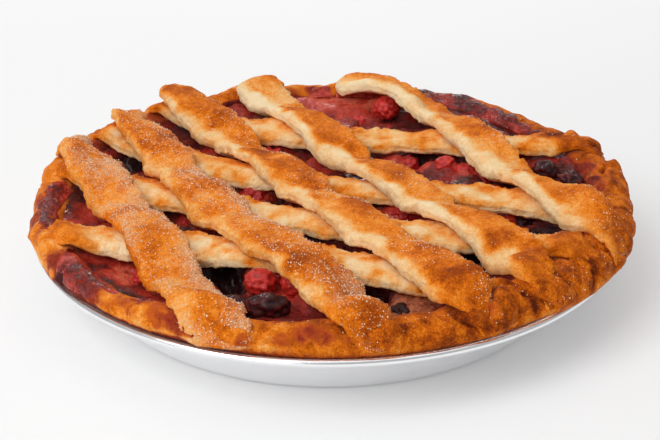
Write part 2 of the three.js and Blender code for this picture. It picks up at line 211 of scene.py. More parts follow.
def path(s, q):
    off = np.array(s["off"], float)
    n = len(off) - 1
    f = clamp((q - s["a"]) / (s["b"] - s["a"]), 0, 1) * n
    i = np.minimum(n - 1, np.floor(f)).astype(int)
    t = f - i
    o = lambda k: off[np.clip(k, 0, n)]
    m0, m1 = (o(i + 1) - o(i - 1)) / 2, (o(i + 2) - o(i)) / 2
    return (2 * t**3 - 3 * t * t + 1) * o(i) + (t**3 - 2 * t * t + t) * m0 + (3 * t * t - 2 * t**3) * o(i + 1) + (t**3 - t * t) * m1


def place(s, q, t):
    c, d = axis(s)
    n = path(s, q) + t
    return q * c - n * d, q * d + n * c


def taper(s, q, T):
    e0, e1 = clamp((q - s["a"]) / 11, 0, 1), clamp((s["b"] - q) / 13, 0, 1)
    end = (s["tip"][0] + (1 - s["tip"][0]) * e0**0.55) * (s["tip"][1] + (1 - s["tip"][1]) * e1**0.6)
    f = (q - s["a"]) / (s["b"] - s["a"]) * 2
    w = np.where(f < 1, s["w"][0] + (s["w"][1] - s["w"][0]) * smooth(0, 0.6, f), s["w"][1] + (s["w"][2] - s["w"][1]) * smooth(1.3, 2, f))
    k = s["a"] + s["off"][0]
    return w * end * (1 + 0.06 * np.sin(q * 0.16 + k) + 0.035 * np.sin(q * 0.37 + 2 * k)), T * end**0.9


ACROSS = np.linspace(-1, 1, 9)


REACH = 16.0                                                 # how far past its nominal ends a strip is followed


def drape(s, under, sag):
    qs = np.arange(s["a"] - REACH, s["b"] + REACH + 1e-6, 1.0)
    rows = []
    for a in ACROSS:
        raw = np.full(len(qs), -1e3)
        w = taper(s, qs, 1.0)[0]
        for dq, dt in ((0, 0), (2, 0), (-2, 0), (0, 1.5), (0, -1.5)):
            x, y = place(s, clamp(qs + dq, qs[0], qs[-1]), a * w + dt)
            raw = np.maximum(raw, under(x, y))
        raw = raw + LAID
        x, y = place(s, qs, 0 * qs)
        k = np.where(np.hypot(x, y) > 99, 0.11 + 0.22 * smooth(103, 110, np.hypot(x, y)), sag)
        env = raw.copy()
        for j in range(-30, 31):
            src = np.arange(len(qs)) + j
            ok = (src >= 0) & (src < len(qs))
            src = np.clip(src, 0, len(qs) - 1)
            env = np.maximum(env, np.where(ok, raw[src] - k[src] * j * j, -1e3))
        pad = np.pad(env, 3, mode="edge")
        env = np.maximum(raw, np.convolve(pad, np.ones(7) / 7, mode="valid"))
        pad = np.pad(env, 3, mode="edge")
        rows.append(np.convolve(pad, np.array([1, 3, 6, 7, 6, 3, 1]) / 27, mode="valid"))
    return dict(qs=qs, grid=np.array(rows))


def drape_at(s, dr, q, u):
    f = clamp(q - dr["qs"][0], 0, len(dr["qs"]) - 1.001)
    i = np.floor(f).astype(int)
    a = f - i
    g = clamp((u + 1) * 4, 0, 7.999)
    j = np.floor(g).astype(int)
    b = g - j
    G = dr["grid"]
    return (G[j, i] * (1 - a) + G[j, i + 1] * a) * (1 - b) + (G[j + 1, i] * (1 - a) + G[j + 1, i + 1] * a) * b


def strip_top(s, dr, T, x, y):
    c, d = axis(s)
    q = x * c + y * d
    t = -x * d + y * c - path(s, q)
    inside = (q >= s["a"]) & (q <= s["b"])
    qc = clamp(q, s["a"], s["b"])
    w, th = taper(s, qc, T)
    u = t / w
    inside &= np.abs(u) <= 1
    top = drape_at(s, dr, qc, clamp(u, -1, 1)) + th * np.power(1 - np.minimum(np.abs(u), 1) ** 3.2, 1 / 2.2)
    return np.where(inside, top, -1e3)


def strip_u(s, x, y):
    """How far across a strip a point lies: under 1 is on it, 9 is off its end."""
    c, d = axis(s)
    q = x * c + y * d
    t = -x * d + y * c - path(s, q)
    w, _ = taper(s, clamp(q, s["a"], s["b"]), 1.0)
    return np.where((q < s["a"]) | (q > s["b"]), 9.0, np.abs(t) / w), w


# ------------------------------------------------------------------ meshes
def grid_faces(n, m, wrap_i=False, wrap_j=False, flip=False, start=0):
    i = np.arange(n if wrap_i else n - 1)
    j = np.arange(m if wrap_j else m - 1)
    I, J = np.meshgrid(i, j, indexing="ij")
    I2, J2 = (I + 1) % n, (J + 1) % m
    f = np.stack([I * m + J, I2 * m + J, I2 * m + J2, I * m + J2], -1).reshape(-1, 4) + start
    return f[:, ::-1] if flip else f


def make(name, verts, faces, attrs, material, nodes=(), smooth_shade=True):
    """faces is a list of index arrays, each (n, 3) or (n, 4). Coordinates are in mm."""
    v = np.clip(np.asarray(verts, float) * 0.001, LO, HI)
    me = bpy.data.meshes.new(name)
    tot = [(f, len(f), f.shape[1]) for f in faces if len(f)]
    me.vertices.add(len(v))
    me.vertices.foreach_set("co", v.ravel())
    me.loops.add(sum(c * k for _, c, k in tot))
    me.loops.foreach_set("vertex_index", np.concatenate([f.ravel() for f, _, _ in tot]).astype(np.int32))
    me.polygons.add(sum(c for _, c, _ in tot))
    sizes = np.concatenate([np.full(c, k) for _, c, k in tot])
    me.polygons.foreach_set("loop_start", np.concatenate([[0], np.cumsum(sizes)[:-1]]).astype(np.int32))
    me.update(calc_edges=True)
    me.validate()
    for k, a in (attrs or {}).items():
        at = me.attributes.new(k, "FLOAT", "POINT")
        at.data.foreach_set("value", np.asarray(a, np.float32).ravel())
    me.polygons.foreach_set("use_smooth", np.full(len(me.polygons), smooth_shade))
    me.materials.append(material)
    o = bpy.data.objects.new(name, me)
    bpy.context.scene.collection.objects.link(o)
    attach(o, "root")
    if nodes:
        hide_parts(*nodes)
    return o


def normals_of(P, wrap_j=True):
    a = np.gradient(P, axis=0)
    if wrap_j:
        b = (np.roll(P, -1, 1) - np.roll(P, 1, 1)) / 2
    else:
        b = np.gradient(P, axis=1)
    n = np.cross(a, b)
    return n / np.maximum(np.linalg.norm(n, axis=-1, keepdims=True), 1e-9)


# ------------------------------------------------------------------ materials
class Nodes:
    def __init__(self, name):
        self.m = bpy.data.materials.new(name)
        self.m.use_nodes = True
        self.t = self.m.node_tree
        self.t.nodes.clear()
        self.out = self.t.nodes.new("ShaderNodeOutputMaterial")
        self.sh = self.t.nodes.new("ShaderNodeBsdfPrincipled")
        self.t.links.new(self.sh.outputs[0], self.out.inputs[0])
        self.co = self.t.nodes.new("ShaderNodeTexCoord").outputs["Object"]

    def link(self, a, b):
        self.t.links.new(a, b)

    def attr(self, name):
        n = self.t.nodes.new("ShaderNodeAttribute")
        n.attribute_name = name
        return n.outputs["Fac"]

    def noise(self, size_mm, detail=3.0, rough=0.55, distort=0.0, stretch=None):
        n = self.t.nodes.new("ShaderNodeTexNoise")
        n.inputs["Scale"].default_value = 1000.0 / size_mm
        n.inputs["Detail"].default_value = detail
        n.inputs["Roughness"].default_value = rough
        n.inputs["Distortion"].default_value = distort
        if stretch:
            mp = self.t.nodes.new("ShaderNodeMapping")
            mp.inputs["Scale"].default_value = stretch
            self.link(self.co, mp.inputs["Vector"])
            self.link(mp.outputs[0], n.inputs["Vector"])
        else:
            self.link(self.co, n.inputs["Vector"])
        return n.outputs["Fac"]

    def voronoi(self, size_mm, feature="F1", out="Distance", rand=1.0):
        n = self.t.nodes.new("ShaderNodeTexVoronoi")
        n.feature = feature
        n.inputs["Scale"].default_value = 1000.0 / size_mm
        n.inputs["Randomness"].default_value = rand
        self.link(self.co, n.inputs["Vector"])
        return n.outputs[out]

    def math(self, op, a, b=None, c=None, clamp_=False):
        n = self.t.nodes.new("ShaderNodeMath")
        n.operation = op
        n.use_clamp = clamp_
        for k, v in enumerate((a, b, c)):
            if v is None:
                continue
            if isinstance(v, (int, float)):
                n.inputs[k].default_value = v
            else:
                self.link(v, n.inputs[k])
        return n.outputs[0]

    def range(self, v, a, b, c=0.0, d=1.0, smooth_=True):
        n = self.t.nodes.new("ShaderNodeMapRange")
        n.interpolation_type = "SMOOTHSTEP" if smooth_ else "LINEAR"
        for k, x in zip(("From Min", "From Max", "To Min", "To Max"), (a, b, c, d)):
            n.inputs[k].default_value = x
        self.link(v, n.inputs["Value"])
        return n.outputs["Result"]

    def ramp(self, v, stops):
        n = self.t.nodes.new("ShaderNodeValToRGB")
        e = n.color_ramp.elements
        e[0].position, e[0].color = stops[0][0], (*stops[0][1], 1)
        e[1].position, e[1].color = stops[-1][0], (*stops[-1][1], 1)
        for pos, col in stops[1:-1]:
            k = e.new(pos)
            k.color = (*col, 1)
        self.link(v, n.inputs[0])
        return n.outputs["Color"]

    def mix(self, f, a, b, mode="MIX"):
        n = self.t.nodes.new("ShaderNodeMix")
        n.data_type = "RGBA"
        n.blend_type = mode
        for k, v in ((0, f), (6, a), (7, b)):
            if isinstance(v, (int, float)):
                n.inputs[k].default_value = v
            elif isinstance(v, tuple):
                n.inputs[k].default_value = (*v, 1)
            else:
                self.link(v, n.inputs[k])
        return n.outputs[2]

    def bumps(self, layers):
        """layers: (height socket, strength, distance in mm), the coarsest first."""
        prev = None
        for h, strength, dist in layers:
            n = self.t.nodes.new("ShaderNodeBump")
            n.inputs["Strength"].default_value = strength
            n.inputs["Distance"].default_value = dist * 0.001
            self.link(h, n.inputs["Height"])
            if prev is not None:
                self.link(prev, n.inputs["Normal"])
            prev = n.outputs[0]
        self.link(prev, self.sh.inputs["Normal"])


PASTRY = [
    (0.00, (0.99, 0.77, 0.47)),
    (0.16, (0.97, 0.645, 0.32)),
    (0.32, (0.95, 0.475, 0.150)),
    (0.45, (0.92, 0.320, 0.045)),
    (0.57, (0.82, 0.205, 0.009)),
    (0.70, (0.57, 0.115, 0.004)),
    (0.83, (0.34, 0.057, 0.003)),
    (1.00, (0.13, 0.020, 0.003)),
]
JUICE = [
    (0.00, (0.68, 0.200, 0.018)),
    (0.30, (0.54, 0.090, 0.014)),
    (0.62, (0.27, 0.028, 0.013)),
    (1.00, (0.075, 0.011, 0.010)),
]


def pastry(name, rough=0.5, mottling=1.0):
    n = Nodes(name)
    v = n.math("MULTIPLY_ADD", n.noise(6.0, 4, 0.62), 0.34 * mottling, n.attr("brown"))
    v = n.math("MULTIPLY_ADD", n.noise(2.0, 4, 0.65, 0.4), 0.42 * mottling, v)
    v = n.math("MULTIPLY_ADD", n.noise(0.7, 2, 0.6), 0.42 * mottling, v)
    v = n.math("SUBTRACT", v, 0.555 * mottling, clamp_=True)
    col = n.ramp(v, PASTRY)
    # sugar: a crust of fine crystals, thick where the attribute says
    su = n.attr("sugar")
    fine = n.noise(0.42, 3, 0.7)
    clump = n.math("MULTIPLY_ADD", n.noise(2.6, 3, 0.6), 0.9, n.math("MULTIPLY", fine, 0.7))
    have = n.range(n.math("ADD", su, clump), 1.34, 1.90)
    sug = n.math("MULTIPLY", have, 0.66)
    col = n.mix(sug, col, n.ramp(fine, [(0.30, (0.40, 0.125, 0.030)), (0.50, (0.70, 0.350, 0.150)), (0.66, (0.95, 0.76, 0.57))]))
    # juice
    ju = n.math("MULTIPLY_ADD", n.noise(3.6, 5, 0.66), 0.80, n.attr("juice"))
    ju = n.math("SUBTRACT", ju, 0.40)
    mask = n.range(ju, 0.06, 0.50)
    col = n.mix(mask, col, n.ramp(n.range(ju, 0.05, 0.95, smooth_=False), JUICE))
    n.link(col, n.sh.inputs["Base Color"])
    r = n.math("MULTIPLY_ADD", n.noise(2.2, 3), 0.34, rough - 0.17)
    r = n.math("MULTIPLY_ADD", sug, -0.20, r)
    r = n.math("MULTIPLY_ADD", mask, -0.26, r, clamp_=True)
    n.link(r, n.sh.inputs["Roughness"])
    n.sh.inputs["Specular IOR Level"].default_value = 0.045
    n.bumps([(n.noise(2.4, 4, 0.7), 1.0, 1.15), (n.noise(0.8, 3, 0.7), 0.9, 0.50), (fine, 0.8, 0.22)])
    return n.m


JAM = [
    (0.00, (0.006, 0.001, 0.001)),
    (0.22, (0.040, 0.004, 0.004)),
    (0.42, (0.135, 0.008, 0.004)),
    (0.62, (0.310, 0.015, 0.007)),
    (0.82, (0.510, 0.034, 0.015)),
    (1.00, (0.700, 0.120, 0.060)),
]


def jam(name, gloss=0.14):
    n = Nodes(name)
    v = n.math("MULTIPLY_ADD", n.noise(4.2, 5, 0.65, 1.0), 0.62, n.attr("tone"))
    v = n.math("MULTIPLY_ADD", n.noise(1.3, 3, 0.6), 0.30, v)
    v = n.math("SUBTRACT", v, 0.46, clamp_=True)
    col = n.ramp(v, JAM)
    col = n.mix(n.range(n.attr("amber"), 0.25, 0.8), col, n.ramp(n.noise(3.0, 4), [(0.35, (0.20, 0.040, 0.014)), (0.65, (0.55, 0.165, 0.070))]))
    n.link(col, n.sh.inputs["Base Color"])
    n.link(n.math("MULTIPLY_ADD", n.noise(2.5, 3), 0.20, gloss - 0.09), n.sh.inputs["Roughness"])
    n.sh.inputs["Specular IOR Level"].default_value = 0.26
    n.sh.inputs["Coat Weight"].default_value = 0.24
    n.sh.inputs["Coat Roughness"].default_value = 0.04
    n.bumps([(n.noise(2.8, 4, 0.60, 1.2), 1.0, 1.7), (n.noise(0.9, 3, 0.6), 0.9, 0.35)])
    return n.m


def berry_skin(name, stops, gloss, spec=0.28):
    n = Nodes(name)
    v = n.math("MULTIPLY_ADD", n.noise(2.4, 4, 0.6), 0.6, n.attr("tone"))
    v = n.math("SUBTRACT", v, 0.3, clamp_=True)
    n.link(n.ramp(v, stops), n.sh.inputs["Base Color"])
    n.link(n.math("MULTIPLY_ADD", n.noise(1.2, 3), 0.2, gloss - 0.10), n.sh.inputs["Roughness"])
    n.sh.inputs["Specular IOR Level"].default_value = spec
    n.sh.inputs["Coat Weight"].default_value = 0.14
    n.sh.inputs["Coat Roughness"].default_value = 0.05
    n.bumps([(n.noise(1.0, 3, 0.6), 0.9, 0.6)])
    return n.m


def tin_metal(name):
    n = Nodes(name)
    rolled = n.noise(4.0, 3, 0.6, 0.0, stretch=(0.02, 1.0, 1.0))
    col = n.ramp(n.math("MULTIPLY_ADD", n.noise(14, 3), 0.5, n.math("MULTIPLY", rolled, 0.5)), [(0.3, (0.90, 0.905, 0.92)), (0.7, (0.97, 0.97, 0.98))])
    # baked juice and grease in the seam under the pastry
    stain = n.range(n.math("MULTIPLY_ADD", n.noise(4.0, 4), 0.5, n.attr("juice")), 0.55, 0.95)
    col = n.mix(stain, col, (0.30, 0.10, 0.04))
    n.link(col, n.sh.inputs["Base Color"])
    n.link(n.math("SUBTRACT", 1.0, n.math("MULTIPLY", stain, 0.85)), n.sh.inputs["Metallic"])
    n.link(n.math("MULTIPLY_ADD", rolled, 0.16, 0.16), n.sh.inputs["Roughness"])
    n.bumps([(rolled, 0.10, 0.03)])
    return n.m


M_UPPER = pastry("baked_strip_upper", 0.50)
M_LOWER = pastry("baked_strip_lower", 0.55, 0.85)
M_CRUST = pastry("baked_rim", 0.52, 1.15)
M_JAM = jam("fruit_filling")
M_RED = berry_skin("red_berry", [(0.0, (0.10, 0.006, 0.006)), (0.35, (0.36, 0.014, 0.011)), (0.7, (0.64, 0.030, 0.022)), (1.0, (0.80, 0.14, 0.09))], 0.16)
M_DARK = berry_skin("dark_berry",  [(0.0, (0.008, 0.002, 0.003)), (0.45, (0.036, 0.006, 0.007)), (0.75, (0.130, 0.014, 0.014)), (1.0, (0.30, 0.035, 0.03))], 0.18, 0.12)
M_TIN = tin_metal("tin_sheet")


# ------------------------------------------------------------------ juice, colour and painted shade marks, in plan
def spots(x, y, table, seed=5, ragged=0.35, z=0.0):
    """The strongest of a table of soft round marks (x, y, radius, strength), with ragged edges."""
    x = np.asarray(x, float)
    y = np.asarray(y, float)
    wob = ragged * fbm(xyz(x, y, z), 7.0, 3, seed)
    out = np.zeros(x.shape)
    for cx, cy, r, s in table:
        d = np.hypot(x - cx, y - cy) / r + wob
        out = np.maximum(out, s * smooth(1.35, 0.40, d))
    return out


def polar(rho, deg):
    return rho * math.cos(math.radians(deg)), rho * math.sin(math.radians(deg))


RIM_JUICE = []
for deg, rho, r, s in [
    (-176, 103, 9, 0.95), (-171, 106, 8, 0.95), (-165, 105, 9, 1.0), (-160, 101, 7, 0.85), (-168, 110, 5, 0.9),
    (-148, 103, 7, 0.95), (-143, 104, 7, 1.0), (-137, 104, 7, 0.95), (-131, 103, 7, 0.95), (-125, 101, 7, 0.9),
    (-149, 111, 6, 0.75), (-144, 113, 6, 0.95), (-139, 113, 6, 0.85), (-134, 112, 5, 0.6), (-128, 108, 8, 0.40),
    (-116, 109, 6, 0.52), (-113, 110, 5, 0.50), (-95, 110, 5, 0.45), (-92, 112, 4, 0.4),
    (-100, 104, 6, 0.40), (-85, 101, 7, 0.55), (-70, 98, 7, 0.62), (-60, 97, 6, 0.4),
    (62, 99, 7, 0.85), (55, 99, 7, 0.9), (48, 99, 7, 0.8), (41, 99.5, 7, 0.85), (34, 100, 7, 0.9), (28, 100, 6, 0.7),
    (16, 101, 6, 0.6), (8, 102, 6, 0.9), (2, 103, 6, 0.9), (-4, 102, 6, 0.7),
    (92, 99, 8, 0.9), (84, 99, 8, 0.8), (100, 99, 7, 0.6), (128, 100, 7, 0.8), (135, 101, 7, 0.7), (160, 101, 7, 0.7),
    (-47, 99, 6, 0.7), (-22, 101, 6, 0.6), (-28, 99, 6, 0.5),
    (-176, 106, 12, 0.46), (-166, 105, 12, 0.50), (-158, 102, 9, 0.50), (-148, 106, 11, 0.50), (-138, 108, 12, 0.50), (-128, 106, 11, 0.50), (-120, 104, 9, 0.46),
]:
    RIM_JUICE.append((*polar(rho, deg), r, s))

# stains on the outside of the rim: angle, height, radius, strength
STAINS = [
    (-116.5, 34.5, 8.0, 0.56), (-113, 33.5, 5.0, 0.62), (-120, 33, 5, 0.42), (-104, 31.5, 4.5, 0.40), (-99, 33, 4, 0.34), (-94.5, 35, 6.5, 0.52), (-91, 33.5, 5.0, 0.48), (-97, 32, 5, 0.42),
    (-128, 35, 8, 0.38), (-137, 32, 8, 0.55), (-144, 30.5, 9, 0.98), (-140, 30, 7, 0.85), (-150, 33, 7, 0.62), (-121, 37, 6, 0.38), (-86, 35, 5, 0.34), (-160, 34, 5, 0.35), (-168, 36, 7, 0.55), (-175, 36, 6, 0.45),
    (-62, 37, 5, 0.30), (40, 39, 6, 0.35), (85, 40, 6, 0.4), (110, 38, 5, 0.4), (150, 36, 6, 0.35),
]

# pits (x, y, radius, depth); each pit is also darkened with painted shade
PITS = [
    (-36.7, -62.3, 8, 8.0), (-33, -70, 6, 4.0), (16, -80, 6.5, 7.0), (10, -76, 6, 7.0), (54, -57, 8, 7.0), (45, -50, 7, 6.5), (62, -62, 5, 4.0),
    (-61, 74, 6, 4.5), (-53, 67, 7, 6.0), (-84, 32, 5, 5.0), (-80, 28, 5, 4.0), (80, -33, 6, 4.0), (-50, -20, 4, 3.0),
    (-71, -58.5, 2.4, 3.0), (38, 38, 5, 3.0), (10, 30, 5, 3.0), (-24, 66, 5, 3.0), (-20, -4, 5, 3.0),
]
# colour marks (x, y, radius, tone)
RED_MARKS = [
    (-28.8, 0.8, 7, 0.85), (-54, -22, 6, 0.75), (-3, 29, 7, 0.72), (3, 25, 6, 0.78), (30, 34, 8, 0.85), (38, 30, 6, 0.8), (56, 23, 9, 0.80),
    (28.8, -17.9, 7, 0.88), (36, -20, 5, 0.85), (72, -18, 6, 0.7), (64.6, -68.6, 6, 0.98), (14, 86, 9, 0.80), (0, 95, 12, 0.93), (10, 100, 10, 0.95), (20, 92, 5, 0.99), (-12, 93, 8, 0.85),
    (-78, -28, 7, 0.85), (-96, -34, 6, 0.92), (-72, -64, 7, 0.75), (-84, -80, 7, 0.7), (72, 75, 6, 0.85), (89, 26, 5, 0.8), (-17, -76, 8, 0.8), (-5, -70, 6, 0.8),
    (-91, -10, 10, 0.80), (-101, -20, 9, 0.75), (-94, -34, 8, 1.0), (-82, -24, 8, 0.9), (-71, -61, 8, 0.98), (-60, -74, 8, 0.82), (-84, -52, 6, 0.8), (-15, 78, 6, 0.6), (22, -84, 5, 0.55), (-60, 20, 6, 0.6), (60, -10, 6, 0.6), (-20, 45, 7, 0.6),
]
# dark marks (x, y, radius, strength): partly dark juice, partly painted shade over the deep pits
DARK_JUICE_AND_SHADE_MARKS = [
    (-88, -60, 5, 0.9), (-80, -69, 5, 1.0), (-71, -79, 5, 1.0), (-62, -87, 5, 0.9), (-36, -84, 7, 0.95), (-28, -92, 7, 0.9), (-36, -62, 9, 1.0), (16, -80, 9, 1.0),
    (50, -54, 10, 1.0), (51, 96, 8, 1.0), (60, 88, 8, 1.0), (83, 60, 7, 1.0), (92, 49, 7, 1.0), (78, 66, 6, 0.9), (99, 8, 7, 1.0), (89, 17, 7, 1.0), (100, -4, 6, 1.0),
    (-57, 70, 10, 0.9), (-82, 30, 8, 1.0), (81, -33, 8, 0.9), (-104, -12, 6, 0.7), (-45, -18, 4, 0.6), (44, 38, 5, 0.6),
]
AMBER_MARKS = [(29.5, -87.7, 9, 1.0), (22, -92, 7, 0.8), (37, -84, 6, 0.8), (-104, -26, 6, 0.45), (-30, 75, 5, 0.4)]


# ------------------------------------------------------------------ tin
def build_tin():
    bc, bz = TIN_RIM_R - BEAD_R, TIN_WALL_TOP + 0.4
    rise = TIN_WALL_TOP - 0.9
    slope = (bc - 1.75 - TIN_BASE_R) / rise
    inset = TIN_T * math.hypot(1, slope)
    pts = [(0, 0.0), (30, 0.0), (60, 0), (TIN_BASE_R - 2.6, 0)]
    for k in range(1, 7):                                   # the rounded corner of the base
        f = k / 6
        pts.append((TIN_BASE_R - 2.6 + 2.9 * f - 0.3 * f * f, 0.0 + 1.35 * f * f))
    for k in range(1, 15):
        z = 1.35 + (TIN_WALL_TOP - 1.35) * k / 14
        pts.append((TIN_BASE_R + slope * (z - 0.9) - 0.0, z))
    for k in range(0, 15):
        a = math.radians(-115 + k * 205 / 14)
        pts.append((bc + BEAD_R * math.cos(a), bz + BEAD_R * math.sin(a)))
    pts += [(TIN_BASE_R + slope * rise - inset + 0.15, TIN_WALL_TOP + 0.6), (TIN_BASE_R - inset, 0.95), (TIN_BASE_R - 1.4 - inset * 0.5, TIN_T), (0, TIN_T)]
    prof = np.array(pts, float)
    n = 420
    th = np.arange(n) / n * 2 * np.pi
    R, Z = prof[:, 0][None], prof[:, 1][None]
    T = th[:, None]
    X, Y = R * np.cos(T), R * np.sin(T)
    Zg = np.broadcast_to(Z, X.shape).copy()
    # a hand-pressed tin is never quite round: shallow dents in the wall
    wall = smooth(1.0, 6.0, Zg) * smooth(25.2, 20.0, Zg) * (R > 80)
    dent = wall * 0.22 * fbm(xyz(X, Y, 0 * X), 44.0, 2, 3)
    k = 1 - np.abs(dent) / np.maximum(R, 1)
    X, Y = X * k, Y * k
    P = np.stack([X, Y, Zg], -1)[:, 1:-1]
    m = P.shape[1]
    verts = np.concatenate([P.reshape(-1, 3), [[0, 0, 0.0], [0, 0, TIN_T]]])
    quads = grid_faces(n, m, wrap_i=True)
    i = np.arange(n)
    c0, c1 = n * m, n * m + 1
    low = np.stack([np.full(n, c0), ((i + 1) % n) * m, i * m], -1)
    top = np.stack([np.full(n, c1), i * m + m - 1, ((i + 1) % n) * m + m - 1], -1)
    rho = np.hypot(verts[:, 0], verts[:, 1])
    deg = np.degrees(np.arctan2(verts[:, 1], verts[:, 0]))
    juice = smooth(25.2, 26.2, verts[:, 2]) * smooth(114.6, 113.6, rho) * (0.35 + 0.55 * bump(deg, -135, 40))
    make("tin_dish", verts, [quads, low, top], {"juice": juice}, M_TIN, ["tin"])


# ------------------------------------------------------------------ pastry case and rim
WALL_SLOPE = (TIN_RIM_R - BEAD_R - 1.75 - TIN_BASE_R) / (TIN_WALL_TOP - 0.9)
WALL_IN = (TIN_T + 0.35) * math.hypot(1, WALL_SLOPE)


def wall_r(z):
    return TIN_BASE_R - WALL_IN + WALL_SLOPE * (z - 0.9)


def rim_brown(P):
    deg = np.degrees(np.arctan2(P[..., 1], P[..., 0]))
    th = np.radians(deg)
    b = 0.50 + 0.15 * bump(deg, -25, 55) + 0.10 * bump(deg, -72, 25) + 0.08 * bump(deg, 60, 50) + 0.04 * np.sin(3 * th)
    return b + 0.09 * fbm(P, 12.0, 2, 21) + 0.10 * fbm(P, 4.0, 2, 22)


# where each strip comes down on the rim: angle, half width in degrees, height of the bulge it makes there, lean
LANDINGS = []
for _s in LOWER + UPPER:
    for _q, _sg in ((_s["a"] + 5.0, -1), (_s["b"] - 5.0, 1)):
        _x, _y = place(_s, np.array(_q), np.array(0.0))
        _w = float(taper(_s, np.array(_q), 1.0)[0])
        _up = _s in UPPER
        _front = _sg > 0
        LANDINGS.append((math.degrees(math.atan2(_y, _x)), math.degrees(_w / 112.0) * (1.0 if _up else 0.9), (1.5 if _front else 1.1) * (1.0 if _up else 0.8), 0.35 if _front else -0.2))


